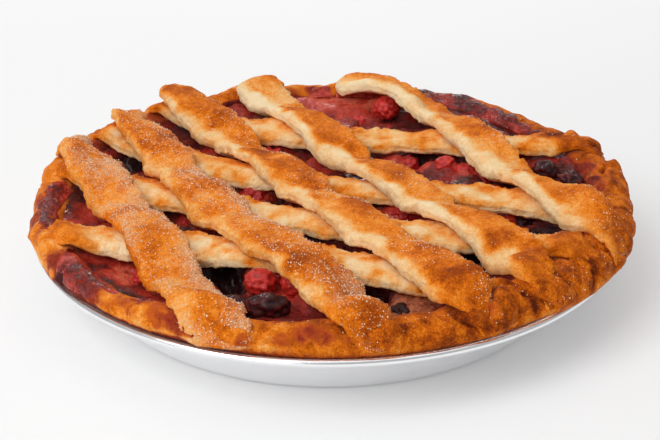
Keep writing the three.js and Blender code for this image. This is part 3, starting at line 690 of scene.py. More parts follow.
def build_crust():
    n = 860
    th = np.arange(n) / n * 2 * np.pi
    R, zc, C = rim_r(th), crest_z(th), crest_r(th)
    one = np.ones(n)
    rows = [(0 * one, 0.95 * one), (one * (wall_r(0.9) - 1.4), 0.95 * one), (one * wall_r(2.4), 2.4 * one), (one * wall_r(14.0), 14.0 * one), (one * wall_r(24.4), 24.4 * one)]
    over = TIN_WALL_TOP + 0.4 + BEAD_R + 0.25
    for f in np.linspace(0, 1, 4):
        rows.append((TIN_RIM_R - BEAD_R - 1.5 + (np.maximum(R - 0.9, 112.9) - (TIN_RIM_R - BEAD_R - 1.5)) * f, one * (over + 0.25 * f)))
    first = len(rows)
    K = 40
    for k in range(K + 1):
        f = (k / K) * math.pi / 2
        e = 2 / SHOULDER
        rows.append((C + (R - C) * (math.cos(f) + 1e-9) ** e, BELLY_Z + (zc - BELLY_Z) * (math.sin(f) + 1e-9) ** e))
    for d in np.linspace(0.08, 1.0, 14):
        rows.append((C - LIP_W * d, zc - LIP_DROP * d**1.6))
    last = len(rows)
    rows += [(C - LIP_W - 1.2, zc - LIP_DROP - 1.6), (one * (wall_r(25) - 11.7), 25 * one), (one * (wall_r(8) - 5.5), 8 * one), (one * (wall_r(5) - 7.0), 5.15 * one), (0 * one, 5.15 * one)]
    RR = np.stack([np.broadcast_to(r, n) for r, _ in rows], 1)
    ZZ = np.stack([np.broadcast_to(z, n) for _, z in rows], 1)
    T = th[:, None]
    P = np.stack([RR * np.cos(T), RR * np.sin(T), ZZ], -1)
    N = normals_of(P[:, 1:-1], wrap_j=False)
    N = np.concatenate([N[:, :1], N, N[:, -1:]], 1)
    out = np.sign((N * np.stack([np.cos(T) + 0 * RR, np.sin(T) + 0 * RR, 0.6 + 0 * RR], -1)).sum(-1, keepdims=True)[:, first + 5:first + 6])
    N = N * out
    j = np.arange(P.shape[1])[None]
    skin = smooth(first - 2.0, first + 3.0, j) * smooth(last + 0.5, last - 2.0, j)
    deg = np.degrees(T) + 0 * RR
    rough_side = 0.75 + 0.5 * bump(deg, -20, 60) + 0.3 * bump(deg, -130, 40)
    lump = 0.75 * fbm(P, 13.0, 2, 1) + 0.42 * fbm(P, 5.0, 2, 2) + 0.20 * fbm(P, 1.9, 2, 3)
    d5, _ = cells(P, 5.2, 7)
    lump = lump + 0.55 * (0.55 - np.minimum(d5, 1.0)) * bump(deg, -40, 75)
    # folds where the dough was pinched over the edge on the right
    fold = 0
    for c, w, a, lean in [(16, 1.0, -1.5, 0.25), (4, 0.8, -1.2, -0.2), (-9, 0.9, -1.1, 0.3), (-23, 0.8, -1.0, 0.2), (-36, 1.0, -1.0, -0.25), (-52, 0.9, -0.8, 0.2), (-66, 0.8, -0.6, 0.2), (-96, 0.8, -0.5, 0.1), (150, 0.9, -0.8, 0.2), (120, 0.9, -0.6, 0), (75, 1.0, -0.6, 0.2), (-172, 0.9, -0.6, 0.2)]:
        fold = fold + a * bump(deg + lean * (ZZ - 34), c, w) + 0.55 * abs(a) * bump(deg + lean * (ZZ - 34), c + 2.6, 1.8)
    outer = smooth(C[:, None] - 3, C[:, None] + 3, RR)
    # overlapping folds: each swells slowly and drops at its own edge
    for c, w, a, lean, side in [(3.4, 15, 2.3, -1.2, -1), (24, 11, 1.5, -0.4, -1), (-24, 9, 1.3, 0.5, 1), (-46, 8, 1.4, -0.5, -1), (-60, 8, 1.2, 0.5, 1), (-78, 9, 0.9, -0.3, -1), (-125, 9, 0.7, 0.4, 1), (-157, 9, 0.8, 0.3, -1)]:
        off = side * (np.mod(deg - c - lean * (110 - RR) + 540, 360) - 180)
        fold = fold + a * smooth(w, 1.2, off) * smooth(-0.7, 0.7, off) - 0.36 * a * np.exp(-(((off + 0.9) / 0.8) ** 2))
    level = clamp((ZZ - 28.5) / (zc[:, None] - 29.5), 0, 1)
    bulge = 0
    for c, hw, amp, lean in LANDINGS:
        off = np.mod(deg - c - lean * (38 - ZZ) + 540, 360) - 180
        u = np.abs(off) / (hw * (0.30 + 0.75 * level) + 0.25)
        bulge = bulge + amp * smooth(1.15, 0.55, u) * (0.35 + 0.65 * level) - 0.55 * amp * np.exp(-(((u - 1.28) / 0.16) ** 2))
    disp = skin * (lump * rough_side + fold * outer + bulge * outer)
    # the lower edge of the pastry over the tin is torn and uneven
    edge = np.exp(-((ZZ - 28.4) / 2.2) ** 2) * (RR > 108)
    disp = disp + skin * edge * 0.9 * fbm(P, 3.2, 2, 12)
    P = P + N * disp[..., None]
    P[..., 0] = np.where(P[..., 0] > 117.2, 117.2 + 2.5 * np.tanh((P[..., 0] - 117.2) / 2.5), P[..., 0])
    low = (RR > 109.5) & (P[..., 2] < over)
    P[..., 2] = np.where(low & (j >= first - 4), np.maximum(P[..., 2], over - 0.05), P[..., 2])
    x, y, z = P[..., 0], P[..., 1], P[..., 2]
    rho = np.hypot(x, y)
    brown = rim_brown(P) + 0.10 * lump + 0.05 * np.clip(bulge, -1, 1)
    brown = brown - 0.10 * outer * smooth(31.0, 28.5, z) + 0.10 * smooth(C[:, None] + 1, C[:, None] - 3, rho)
    # painted shade: the pastry is made darker in the creases of the folds and in the grooves round the strip landings
    brown = brown + (0.30 * np.clip(-fold, 0, 1) + 0.22 * np.clip(-bulge, 0, 1)) * outer
    juice = spots(x, y, RIM_JUICE, 5, 0.45, z)
    juice = np.maximum(juice, 0.9 * smooth(C[:, None] - 3.6, C[:, None] - 5.6, rho))
    juice = juice * (0.78 + 0.34 * fbm(P, 5.0, 3, 24))
    spill = bump(deg, -142, 9)
    juice = juice * np.maximum(smooth(31.5, 36.0, z + 1.5 * fbm(P, 5.0, 2, 23)), spill * smooth(27.5, 29.0, z))
    for c, zz, r, st in STAINS:
        cx, cy = polar(113.6, c)
        dd = np.sqrt((x - cx) ** 2 + (y - cy) ** 2 + ((z - zz) * 1.25) ** 2) / r + 0.38 * fbm(P, 4.5, 3, 25)
        juice = np.maximum(juice, st * smooth(1.3, 0.35, dd))
    seam = smooth(28.6, 27.2, z) * (rho > 108) * (0.25 + 0.5 * bump(deg, -135, 38))
    juice = np.maximum(juice, seam)
    sugar = 0.10 + 0.30 * bump(deg, -35, 70) + 0.12 * fbm(P, 16.0, 2, 31)
    sugar = sugar * smooth(29, 33, z) * (1 - smooth(0.2, 0.5, juice))
    V = P[:, 1:-1]
    m = V.shape[1]
    verts = np.concatenate([V.reshape(-1, 3), [[0, 0, 0.95], [0, 0, 5.15]]])
    i = np.arange(n)
    c0, c1 = n * m, n * m + 1
    quads = grid_faces(n, m, wrap_i=True)
    lowf = np.stack([np.full(n, c0), ((i + 1) % n) * m, i * m], -1)
    topf = np.stack([np.full(n, c1), i * m + m - 1, ((i + 1) % n) * m + m - 1], -1)
    at = lambda a: np.concatenate([np.broadcast_to(a, P.shape[:2])[:, 1:-1].ravel(), [0.3, 0.3]])
    make("pie_crust", verts, [quads, lowf, topf], {"brown": at(brown), "juice": at(juice), "sugar": at(sugar)}, M_CRUST, ["crust"])
    return P[:, first:last], np.broadcast_to(sugar, P.shape[:2])[:, first:last], N[:, first:last]


# where the filling boiled over the edge: angle, distance from the middle, radius
BOILED = [
    (-178, 103, 8.5), (-173, 104, 8.5), (-167, 104, 8.5), (-161, 101, 7.0), (-155, 97, 5.5), (-176, 97, 8), (-168, 96, 9), (-160, 95, 8),
    (-149, 104, 6.0), (-144, 105, 7.5), (-138, 105, 8.0), (-132, 104.5, 8.0), (-126, 103, 7.5), (-121, 101, 6.0), (-146, 98, 8), (-137, 98, 8), (-128, 97, 8),
    (-146, 111, 5.0), (-142, 113, 5.0), (-137, 111, 4.5),
    (70, 100, 7), (65, 101, 7), (60, 101, 7.5), (55, 101, 7.5), (50, 100.5, 7.0), (45, 100, 7), (40, 100, 6.5), (35, 100, 6), (30, 99.5, 5.5), (24, 99, 5), (92, 99, 6), (85, 99, 6), (78, 99, 6),
]


def C_OF(P):
    return crest_r(np.arctan2(P[..., 1], P[..., 0]))


def build_boiled(P, N):
    """A thin wrinkled film of boiled filling over the rim; it dips into the pastry at its ragged edge."""
    x, y, z = P[..., 0], P[..., 1], P[..., 2]
    k = np.zeros(x.shape)
    for c, rho, r in BOILED:
        cx, cy = polar(rho, c)
        d = np.hypot(x - cx, y - cy) / r + 0.20 * fbm(xyz(x, y, 0.5 * z), 5.0, 3, 90)
        k = np.maximum(k, smooth(1.25, 0.75, d))
    k = k * np.maximum(smooth(33.0, 35.0, z), bump(np.degrees(np.arctan2(y, x)), -142, 8) * smooth(28.5, 30.0, z))
    h = -0.9 + 1.35 * smooth(0.0, 0.7, k) + 0.35 * k * fbm(P, 3.0, 3, 91) + 0.35 * k * (0.6 - np.minimum(cells(P, 3.4, 92)[0], 1.0))
    wr = fbm(xyz(x, y, 0.35 * z) + 1.4 * fbm(P, 6.0, 2, 94)[..., None], 2.6, 3, 95)
    h = h + k * (0.55 * np.abs(wr) - 0.35)
    top = P + N * h[..., None]
    under = P - N * 1.6
    tone = np.maximum(0.53 + 0.36 * fbm(P, 6.0, 3, 93), 0.44) - 0.16 * smooth(0.22, 0.02, np.abs(wr)) + 0.20 * smooth(0.9, 0.35, k) + 0.10 * h + 0.16 * smooth(C_OF(P), C_OF(P) - 6, np.hypot(x, y))
    amber = smooth(0.80, 0.25, k) * 0.9
    deg = np.degrees(np.arctan2(P[:, 20, 1], P[:, 20, 0]))
    tone = tone - 0.10 * smooth(10, 30, deg)[:, None] * smooth(75, 66, deg)[:, None] + 0.10 * smooth(70, 80, deg)[:, None]
    n = P.shape[0]
    runs = [(-184.0, -148.0), (-155.0, -112.0), (16.0, 99.0)]
    V, F, A, B, start = [], [], [], [], 0
    for lo_d, hi_d in runs:
        idx = np.arange(int(round(lo_d / 360 * n)), int(round(hi_d / 360 * n))) % n
        T_, U_ = top[idx], under[idx][:, ::-1]
        ring = np.concatenate([T_, U_], 1)
        m = ring.shape[1]
        V.append(ring.reshape(-1, 3))
        F.append(grid_faces(len(idx), m, wrap_j=True, start=start))
        A.append(np.concatenate([tone[idx], 0 * tone[idx] + 0.3], 1).ravel())
        B.append(np.concatenate([amber[idx], 0 * amber[idx]], 1).ravel())
        V.append(ring[[0, -1]].mean(1))
        c0 = start + len(idx) * m
        jj = np.arange(m)
        last = start + (len(idx) - 1) * m
        F.append(np.stack([np.full(m, c0), start + (jj + 1) % m, start + jj], -1))
        F.append(np.stack([np.full(m, c0 + 1), last + jj, last + (jj + 1) % m], -1))
        A.append([0.3, 0.3])
        B.append([0.0, 0.0])
        start = c0 + 2
    make("boiled_juice", np.concatenate(V), F, {"tone": np.concatenate(A), "amber": np.concatenate(B)}, M_JAM)


# ------------------------------------------------------------------ filling
def fill_look(x, y):
    rho, th = np.hypot(x, y), np.arctan2(y, x)
    base = fill_top(rho, th)
    p = xyz(x, y)
    rim = crest_r(th) - LIP_W
    film = smooth(88.0, 97.0, rho)
    z = base - 1.9 * smooth(rim - 1.0, rim - 12.0, rho)
    d, who = cells(p * np.array([1, 1, 0.0]) + np.array([3.0, 7.0, 0.4]), 9.5, 61)
    fruit = np.sqrt(np.clip(1 - (d / 0.62) ** 2, 0, 1)) * (who > 0.30)
    z = z + (1 - 0.75 * film) * (2.1 * fruit + 0.7 * fbm(p, 6.0, 3, 62)) + film * 0.55 * fbm(p, 4.5, 3, 63)
    dd, _ = cells(p, 2.3, 64)
    z = z + (1 - film) * 0.55 * fruit * np.sqrt(np.clip(1 - (dd / 0.8) ** 2, 0, 1))
    tone = 0.46 + 0.20 * fbm(p, 14.0, 2, 65) + (who - 0.5) * 0.34 * (fruit > 0.05)
    for cx, cy, r, dep in PITS:
        k = smooth(1.2, 0.3, np.hypot(x - cx, y - cy) / r + 0.25 * fbm(p, 5.0, 2, 66))
        z = z - dep * k * (1 - 0.3 * film)
        # painted shade: the filling is darkened in each pit
        tone = tone - 0.5 * k
    red = np.zeros(x.shape)
    for cx, cy, r, s in RED_MARKS:
        k = smooth(1.25, 0.5, np.hypot(x - cx, y - cy) / r + 0.3 * fbm(p, 5.5, 2, 67))
        tone = tone * (1 - k) + k * s
        red = np.maximum(red, k)
    # dark juice and painted shade: the filling is darkened under the dark marks
    dark = spots(x, y, DARK_JUICE_AND_SHADE_MARKS, 68, 0.3)
    tone = tone * (1 - 0.85 * dark) + 0.85 * dark * 0.12
    amber = spots(x, y, AMBER_MARKS, 69, 0.3)
    z = z + 1.2 * amber * (1 - film)
    return z, tone, amber


def build_filling():
    n = 600
    th = np.arange(n) / n * 2 * np.pi
    C = crest_r(th)
    edge = C - LIP_W + 1.0
    f = np.concatenate([[0.012], np.linspace(0.03, 1.0, 84)]) ** 0.80
    rho = edge[:, None] * f[None]
    T = th[:, None]
    x, y = rho * np.cos(T), rho * np.sin(T)
    z, tone, amber = fill_look(x, y)
    lim = crest_z(T) - LIP_DROP + 0.25
    last = f[None] > 0.985
    z = np.where(last, np.minimum(z, lim), z)
    top = np.stack([x, y, z], -1)
    skirt = []
    for drop, r in ((4.0, edge - 2.0), (10.0, None), (28.0, None)):
        if r is None:
            zz = 25.0 if drop == 10.0 else 5.6
            r = np.full(n, wall_r(25) - 12.4) if drop == 10.0 else np.full(n, wall_r(5) - 8.0)
            skirt.append(np.stack([r * np.cos(th), r * np.sin(th), np.full(n, zz)], -1))
        else:
            skirt.append(np.stack([r * np.cos(th), r * np.sin(th), crest_z(th) - LIP_DROP - drop], -1))
    V = np.concatenate([top] + [s[:, None] for s in skirt], 1)
    m = V.shape[1]
    z0, t0, _ = fill_look(np.array([0.0]), np.array([0.0]))
    verts = np.concatenate([V.reshape(-1, 3), [[0, 0, z0[0]], [0, 0, 5.6]]])
    i = np.arange(n)
    c0, c1 = n * m, n * m + 1
    quads = grid_faces(n, m, wrap_i=True, flip=True)
    cap = np.stack([np.full(n, c0), i * m, ((i + 1) % n) * m], -1)
    bot = np.stack([np.full(n, c1), ((i + 1) % n) * m + m - 1, i * m + m - 1], -1)
    full = lambda a, v: np.concatenate([np.concatenate([a, np.full((n, 3), v)], 1).ravel(), [a[0, 0], v]])
    make("fruit_jam", verts, [quads, cap, bot], {"tone": full(tone, 0.3), "amber": full(amber, 0.0)}, M_JAM, ["filling"])


# ------------------------------------------------------------------ fruit
def icosphere(level):
    bm = bmesh.new()
    bmesh.ops.create_icosphere(bm, subdivisions=level, radius=1.0)
    v = np.array([p.co[:] for p in bm.verts])
    f = np.array([[q.index for q in t.verts] for t in bm.faces])
    bm.free()
    return v / np.linalg.norm(v, axis=1, keepdims=True), f


ICO = {k: icosphere(k) for k in (4, 5)}


def drupelets(level, count, height, seed, wrinkle=0.05):
    """A sphere covered in small round drupelets; the longest radius is 1."""
    v, f = ICO[level]
    r = np.random.default_rng(seed)
    k = np.arange(count) + 0.5
    ph = np.arccos(1 - 2 * k / count)
    az = np.pi * (1 + 5**0.5) * k
    c = np.stack([np.cos(az) * np.sin(ph), np.sin(az) * np.sin(ph), np.cos(ph)], 1)
    c = c + r.normal(0, 0.035, c.shape)
    c /= np.linalg.norm(c, axis=1, keepdims=True)
    size = (2.0 / math.sqrt(count)) * r.uniform(0.92, 1.12, count)
    d = np.linalg.norm(v[:, None] - c[None], axis=-1) / size[None]
    best = d.min(1)
    bulge = np.sqrt(np.clip(1 - best**2, 0, 1))
    rad = 1 - height + height * bulge + wrinkle * fbm(v * 10 + seed, 4.5, 2, seed)
    return v * rad[:, None], f, bulge


def turn(seed):
    r = np.random.default_rng(seed)
    q, _ = np.linalg.qr(r.normal(size=(3, 3)))
    return q if np.linalg.det(q) > 0 else -q


def build_berries():
    for b in BERRIES:
        z0 = float(support(np.array(b["x"], float), np.array(b["y"], float))) + 0.42 * b["r"]
        seed = int(abs(b["x"] * 7 + b["y"] * 13)) + 3
        v, f, bulge = drupelets(4, 46 if not b["dark"] else 44, 0.20 if not b["dark"] else 0.16, seed, 0.18 if b["dark"] else 0.05)
        v = v @ turn(seed).T
        p = v * np.array([b["r"] * b["long"], b["r"] * 0.98, b["r"] * 0.86]) * 1.04 + np.array([b["x"], b["y"], z0 - (1.6 if b["dark"] else 0.6)])
        tone = 0.42 + 0.25 * bulge + 0.16 * fbm(p, 3.0, 2, seed)
        if b["dark"]:
            tone = 0.26 + 0.34 * bulge + 0.2 * fbm(p, 4.0, 2, seed)
        make(b["name"] + "_fruit", p, [f], {"tone": tone}, M_DARK if b["dark"] else M_RED, [b["name"]])


def build_sunken():
    """Fruit that lies half sunk in the filling, in the gaps of the lattice."""
    r = np.random.default_rng(77)
    red = ([], [], [])
    dark = ([], [], [])
    fixed = [(-29, 2, 5.0, 0), (29, -18, 4.8, 0), (36, -21, 4.2, 0), (56, 22, 5.2, 0), (48, 28, 4.6, 0), (64, 17, 4.4, 0), (33, 36, 4.8, 0), (-54, -22, 4.4, 0), (4, 27, 4.6, 0),
             (-36, -85, 5.0, 1), (-29, -86, 4.4, 1), (75, -20, 4.4, 1), (101, -5, 4.6, 1), (-66, -62, 4.2, 0), (-80, -30, 4.4, 0), (-17, -69, 4.6, 0), (-4, -83, 4.4, 1), (64.6, -68, 3.6, 0), (24, -90, 4.2, 1),
             (-17, 76, 4.6, 1), (-88, 0, 4.2, 0), (66, 6, 4.2, 0), (14, 78, 4.6, 0), (-60, 22, 4.4, 0), (-24, 42, 4.4, 0), (84, -30, 4.2, 1)]
    for k, (x, y, rad, kind) in enumerate(fixed):
        a = np.array([float(x)])
        b = np.array([float(y)])
        z = float(fill_look(a, b)[0][0])
        v, f, bulge = drupelets(4, 30 + k % 9, 0.13, 300 + k, 0.26)
        s = rad * np.array([1.0, r.uniform(0.85, 1.1), r.uniform(0.72, 0.85)])
        p = (v @ turn(500 + k).T) * s + np.array([x, y, z - 0.30 * rad])
        dst = dark if kind else red
        dst[1].append(f + sum(len(q) for q in dst[0]))
        dst[0].append(p)
        dst[2].append(0.30 + 0.28 * bulge + r.uniform(-0.12, 0.12))
    make("sunken_red_fruit", np.concatenate(red[0]), [np.concatenate(red[1])], {"tone": np.concatenate(red[2])}, M_RED)
    make("sunken_dark_fruit", np.concatenate(dark[0]), [np.concatenate(dark[1])], {"tone": np.concatenate(dark[2]) * 0.8}, M_DARK)


# ------------------------------------------------------------------ strips
# ends: how far inside the rim's outside each end stops (rear, front), rounding, thickness left, sinking into the rim
ENDS = {
    "strip_lower_1": (5.0, 2.0, 6.0, 6.0, 0.30, 0.15, 1.6, 1.6),
    "strip_lower_2": (5.0, 4.0, 6.0, 6.0, 0.15, 0.15, 2.0, 2.0),
    "strip_lower_3": (5.0, 2.5, 6.0, 8.0, 0.15, 0.15, 2.0, 1.8),
    "strip_lower_4": (4.0, 5.0, 5.0, 6.0, 0.12, 0.15, 2.0, 2.0),
    "strip_upper_1": (2.0, -0.9, 7.0, 2.0, 0.60, 0.16, 0.8, 0.4),
    "strip_upper_2": (3.0, -0.9, 11.0, 5.0, 0.70, 0.16, 0.6, 0.4),
    "strip_upper_3": (3.5, -0.9, 10.0, 8.0, 0.75, 0.18, 0.5, 0.4),
    "strip_upper_4": (3.5, -0.9, 10.0, 9.0, 0.75, 0.18, 0.5, 0.4),
    "strip_upper_5": (3.5, -0.9, 10.0, 7.0, 0.75, 0.18, 0.5, 0.4),
}


def end_line(s, t, sign, inset):
    """Where, along a strip, each line at a distance t from its middle comes to the outside of the rim."""
    q = np.full(t.shape, float(s["b"] if sign > 0 else s["a"]))
    for _ in range(6):
        n = path(s, q) + t
        x, y = place(s, q, t)
        R = rim_r(np.arctan2(y, x)) - inset
        q = sign * np.sqrt(np.maximum(R * R - n * n, 20.0))
    far = s["b"] + REACH - 1 if sign > 0 else s["a"] - REACH + 1
    return np.minimum(q, far) if sign > 0 else np.maximum(q, far)


def build_strip(s, dr, T, upper, index):
    M = 46
    k0, k1, L0, L1, thin0, thin1, sink0, sink1 = ENDS[s["name"]]
    ts = np.linspace(-16.0, 16.0, 65)
    q0t, q1t = end_line(s, ts, -1, k0), end_line(s, ts, 1, k1)
    q0c, q1c = float(np.interp(0, ts, q0t)), float(np.interp(0, ts, q1t))
    fine = np.linspace(q0c, q1c, 1200)
    zf = drape_at(s, dr, fine, 0 * fine)
    seg = np.hypot(np.diff(fine), np.diff(zf))
    arc = np.concatenate([[0], np.cumsum(seg)])
    n = int(min(340, max(200, arc[-1] / 0.64)))
    e = np.linspace(0, 1, n)
    q = np.interp(arc[-1] * e, arc, fine)
    q[0], q[-1] = q0c, q1c
    w, th = taper(s, q, T)
    ds, de = q - q0c, q1c - q
    rnd = np.sqrt(np.clip(1 - (1 - clamp(ds / L0, 0, 1)) ** 2, 0.004, 1)) * np.sqrt(np.clip(1 - (1 - clamp(de / L1, 0, 1)) ** 2, 0.004, 1))
    thin = (thin0 + (1 - thin0) * smooth(-1.0, 9.0, ds)) * (thin1 + (1 - thin1) * smooth(0.0, 13.0, de))
    sink = sink0 * smooth(8.0, 0.0, ds) + sink1 * smooth(12.0, 0.0, de)
    if upper:                                               # the front ends are pressed down over the side of the rim
        sink = sink + 5.2 * smooth(4.2, 0.2, de)
    seed = 100 + index * 7 + (50 if upper else 0)
    ph = np.arange(M) / M * 2 * np.pi
    ca, sa = np.cos(ph), np.sin(ph)
    ex = 2 / 3.1
    U = np.sign(ca) * np.abs(ca) ** ex
    up_top = 0.40 + 0.60 * np.abs(sa) ** ex
    up_bot = 0.40 - 0.40 * np.abs(sa) ** ex
    UP = np.where(sa >= 0, up_top, up_bot)
    U2 = np.broadcast_to(U[None], (n, M)).copy()
    UP2 = np.broadcast_to(UP[None], (n, M)).copy()
    # ragged cut edges: each side wanders by itself
    line = lambda off, sc, sd: noise(np.stack([q, 0 * q + off, 0 * q], -1), sc, sd)
    left = 1 + 0.055 * line(1, 9, seed) + 0.035 * line(1, 3.3, seed + 1)
    right = 1 + 0.055 * line(5, 9, seed + 2) + 0.065 * line(5, 3.0, seed + 3) + 0.045 * line(5, 1.4, seed + 4)
    side = np.where(U2 < 0, left[:, None], right[:, None])
    c, d = axis(s)
    Wd = (w * rnd)[:, None]
    Th = (th * (0.35 + 0.65 * rnd) * thin)[:, None]
    # the back ends of the top strips draw in to a low foot on their left
    foot = (smooth(15.0, 2.0, ds)[:, None] if upper and index else 0.0) * np.clip(-U2, 0, 1)
    across = U2 * Wd * side * (1 - 0.34 * foot)
    Th = Th * (1 - 0.55 * foot**1.5)
    f = ((q - q0c) / (q1c - q0c))[:, None]
    # the ends are cut along the rim; the middle runs straight
    Q = q[:, None] + (np.interp(across, ts, q0t) - q0c) * smooth(0.22, 0.0, f) * (0.45 if upper and index else 1.0) + (np.interp(across, ts, q1t) - q1c) * smooth(0.78, 1.0, f)
    X, Y = place(s, Q, across)
    Zb = drape_at(s, dr, Q, np.clip(across / w[:, None], -1, 1)) - sink[:, None]
    h = 2.5
    za, zb = drape_at(s, dr, q - h, 0 * q), drape_at(s, dr, q + h, 0 * q)
    run = 2 * h + 0 * q
    sl = ((zb - za) / run)[:, None]
    l = np.hypot(1, sl)
    X = X - UP2 * Th * sl / l * c
    Y = Y - UP2 * Th * sl / l * d
    Z = Zb + UP2 * Th / l
    P = np.stack([X, Y, Z], -1)
    N = normals_of(P)
    mid = P.mean(1, keepdims=True)
    if ((P - mid) * N).sum() < 0:
        N = -N
    topness = smooth(0.35, 0.75, UP2)
    sideness = smooth(0.72, 0.97, np.abs(U2)) * smooth(0.0, 0.25, UP2)
    zc = np.interp(q, fine, zf)
    even = np.arange(q0c, q1c + 1, 1.0)
    pad = np.pad(np.interp(even, fine, zf), 26, mode="edge")
    avg = np.convolve(pad, np.ones(53) / 53, mode="valid")
    hump = zc - np.interp(q, even[: len(avg)], avg)
    H = hump[:, None] + 0 * U2
    puff = 0.55 * fbm(P, 11.0, 2, seed + 5) + 0.34 * fbm(P, 4.2, 2, seed + 6) + 0.24 * fbm(P, 1.7, 2, seed + 7)
    d4, _ = cells(P, 4.6, seed + 8)
    blister = 0.38 * (0.5 - np.minimum(d4, 1)) * topness
    layers = 0.14 * np.sin(UP2 * T * 5.2 + 2.4 * noise(P, 6.0, seed + 9)) * sideness
    torn = 0.60 * noise(P, 1.6, seed + 10) * sideness * (0.5 + 0.9 * (U2 > 0))
    disp = (puff + blister * (1.0 if upper else 0.6) + layers + torn) * smooth(0.02, 0.2, UP2) * np.minimum(rnd[:, None] + 0.2, 1)
    P = P + N * disp[..., None]
    reach = np.hypot(P[..., 0], P[..., 1])
    ang = np.arctan2(P[..., 1], P[..., 0])
    most = np.maximum(115.3, rim_r(ang) + 0.9)
    k = np.where(reach > most, most / reach, 1.0)
    P[..., 0] *= k
    P[..., 1] *= k
    x, y, z = P[..., 0], P[..., 1], P[..., 2]
    rho = np.hypot(x, y)
    sagf = smooth(0.5, -1.3, H)
    humpf = smooth(0.2, 1.7, H)
    wig = 0.22 * fbm(P, 7.0, 2, seed + 11)
    if upper:
        ue = [-0.86, -0.95, -0.85, -0.77, -0.75][index] + 0.54 * sagf + wig
        # the left side of each top strip is paler: partly the real unbrowned side of the dough, partly painted light on
        # the side the key lamp lights
        pale_and_lit_side = smooth(ue + 0.34, ue - 0.16, U2) * (0.5 * smooth(20, -30, Q) if index == 0 else 1)
        base = 0.53 + 0.07 * humpf + [-0.02, 0.02, 0.03, -0.01, -0.03][index] + 0.03 * smooth(40, 100, Q) * (1 if index else 0)
        brown = base + 0.14 * fbm(P, 9.0, 2, seed + 12) + 0.08 * disp
        brown = brown * (1 - pale_and_lit_side) + pale_and_lit_side * ([0.30, 0.27, 0.13, 0.09, 0.09][index] + 0.10 * fbm(P, 8.0, 2, seed + 13) + 0.14 * smooth(70, 105, Q))
        # painted highlight: a paler band along the top's right edge; the pastry is also browner near the rim
        brown = brown - 0.10 * smooth(0.80, 0.98, U2) * topness + 0.14 * smooth(98, 110, rho)
        if index >= 3:
            brown = brown - 0.16 * smooth(-40, -85, Q) * (0.5 + 0.5 * smooth(0.5, -0.2, U2))
        sug = [0.72, 0.52, 0.28, 0.24, 0.30][index] + 0.22 * fbm(P, 15.0, 2, seed + 14) - 0.28 * humpf * (1 if index > 1 else 0.3)
        sug = sug + 0.22 * smooth(0.2, 0.7, U2) * (1 if index < 3 else 0.4) + (0.04 * smooth(50, 90, Q) if index > 1 else 0)
        if index == 0:
            sug = sug - 0.20 * smooth(5, 55, Q) * smooth(0.6, -0.1, U2)
        sug = sug * topness * (1 - 0.75 * pale_and_lit_side)
    else:
        side_pale = smooth(0.62, 0.25, UP2)
        brown = 0.25 + 0.20 * smooth(-0.3, 0.7, U2) * topness + 0.20 * fbm(P, 9.0, 2, seed + 12) + 0.16 * fbm(P, 4.0, 2, seed + 15) + 0.10 * humpf
        brown = brown * (1 - 0.55 * side_pale) + 0.38 * smooth(95, 108, rho) + (0.26 * smooth(58, 84, Q) if index == 0 else 0)
        ring = smooth(0.30, 0.05, UP2) * (0.5 + 0.5 * fbm(P, 6.0, 2, seed + 16))
        brown = brown + 0.45 * ring
        sug = 0.30 + 0.2 * fbm(P, 15.0, 2, seed + 14)
        sug = sug * topness * smooth(0.0, 0.5, U2)
    onrim = smooth(97.0, 108.0, rho)
    # on the rim the left half of a top strip is paler too: partly unbrowned dough, partly painted light on the lit side
    brown = brown * (1 - 0.8 * onrim) + 0.8 * onrim * (rim_brown(P) + 0.05 * disp - (0.16 * smooth(-0.1, -0.7, U2) if upper else 0.0))
    juice = smooth(0.34, 0.02, UP2) * (0.42 + 0.40 * fbm(P, 7.0, 2, seed + 17)) * smooth(104, 96, rho)
    if upper:
        juice = juice * 0.7
    verts = np.concatenate([P.reshape(-1, 3), [P[0].mean(0)], [P[-1].mean(0)]])
    quads = grid_faces(n, M, wrap_j=True, flip=True)
    jj = np.arange(M)
    a0, a1 = n * M, n * M + 1
    base_i = (n - 1) * M
    capa = np.stack([np.full(M, a0), (jj + 1) % M, jj], -1)[:, ::-1]
    capb = np.stack([np.full(M, a1), base_i + jj, base_i + (jj + 1) % M], -1)[:, ::-1]
    at = lambda v: np.concatenate([np.broadcast_to(v, (n, M)).ravel(), [float(np.broadcast_to(v, (n, M))[0, 0]), float(np.broadcast_to(v, (n, M))[-1, 0])]])
    o = make(s["name"].replace("strip", "lattice"), verts, [quads, capa, capb], {"brown": at(brown), "sugar": at(sug), "juice": at(juice)},
             M_UPPER if upper else M_LOWER, [s["name"]])
    return o, P, N, np.broadcast_to(sug, (n, M)), topness


# ------------------------------------------------------------------ sugar
def sugar_material():
    n = Nodes("coarse_sugar")
    n.link(n.ramp(n.noise(0.9, 2), [(0.3, (0.72, 0.46, 0.26)), (0.55, (0.86, 0.66, 0.46)), (0.75, (0.96, 0.86, 0.72))]), n.sh.inputs["Base Color"])
    n.link(n.math("MULTIPLY_ADD", n.noise(0.5, 2), 0.3, 0.02), n.sh.inputs["Roughness"])
    n.sh.inputs["Specular IOR Level"].default_value = 0.7
    return n.m


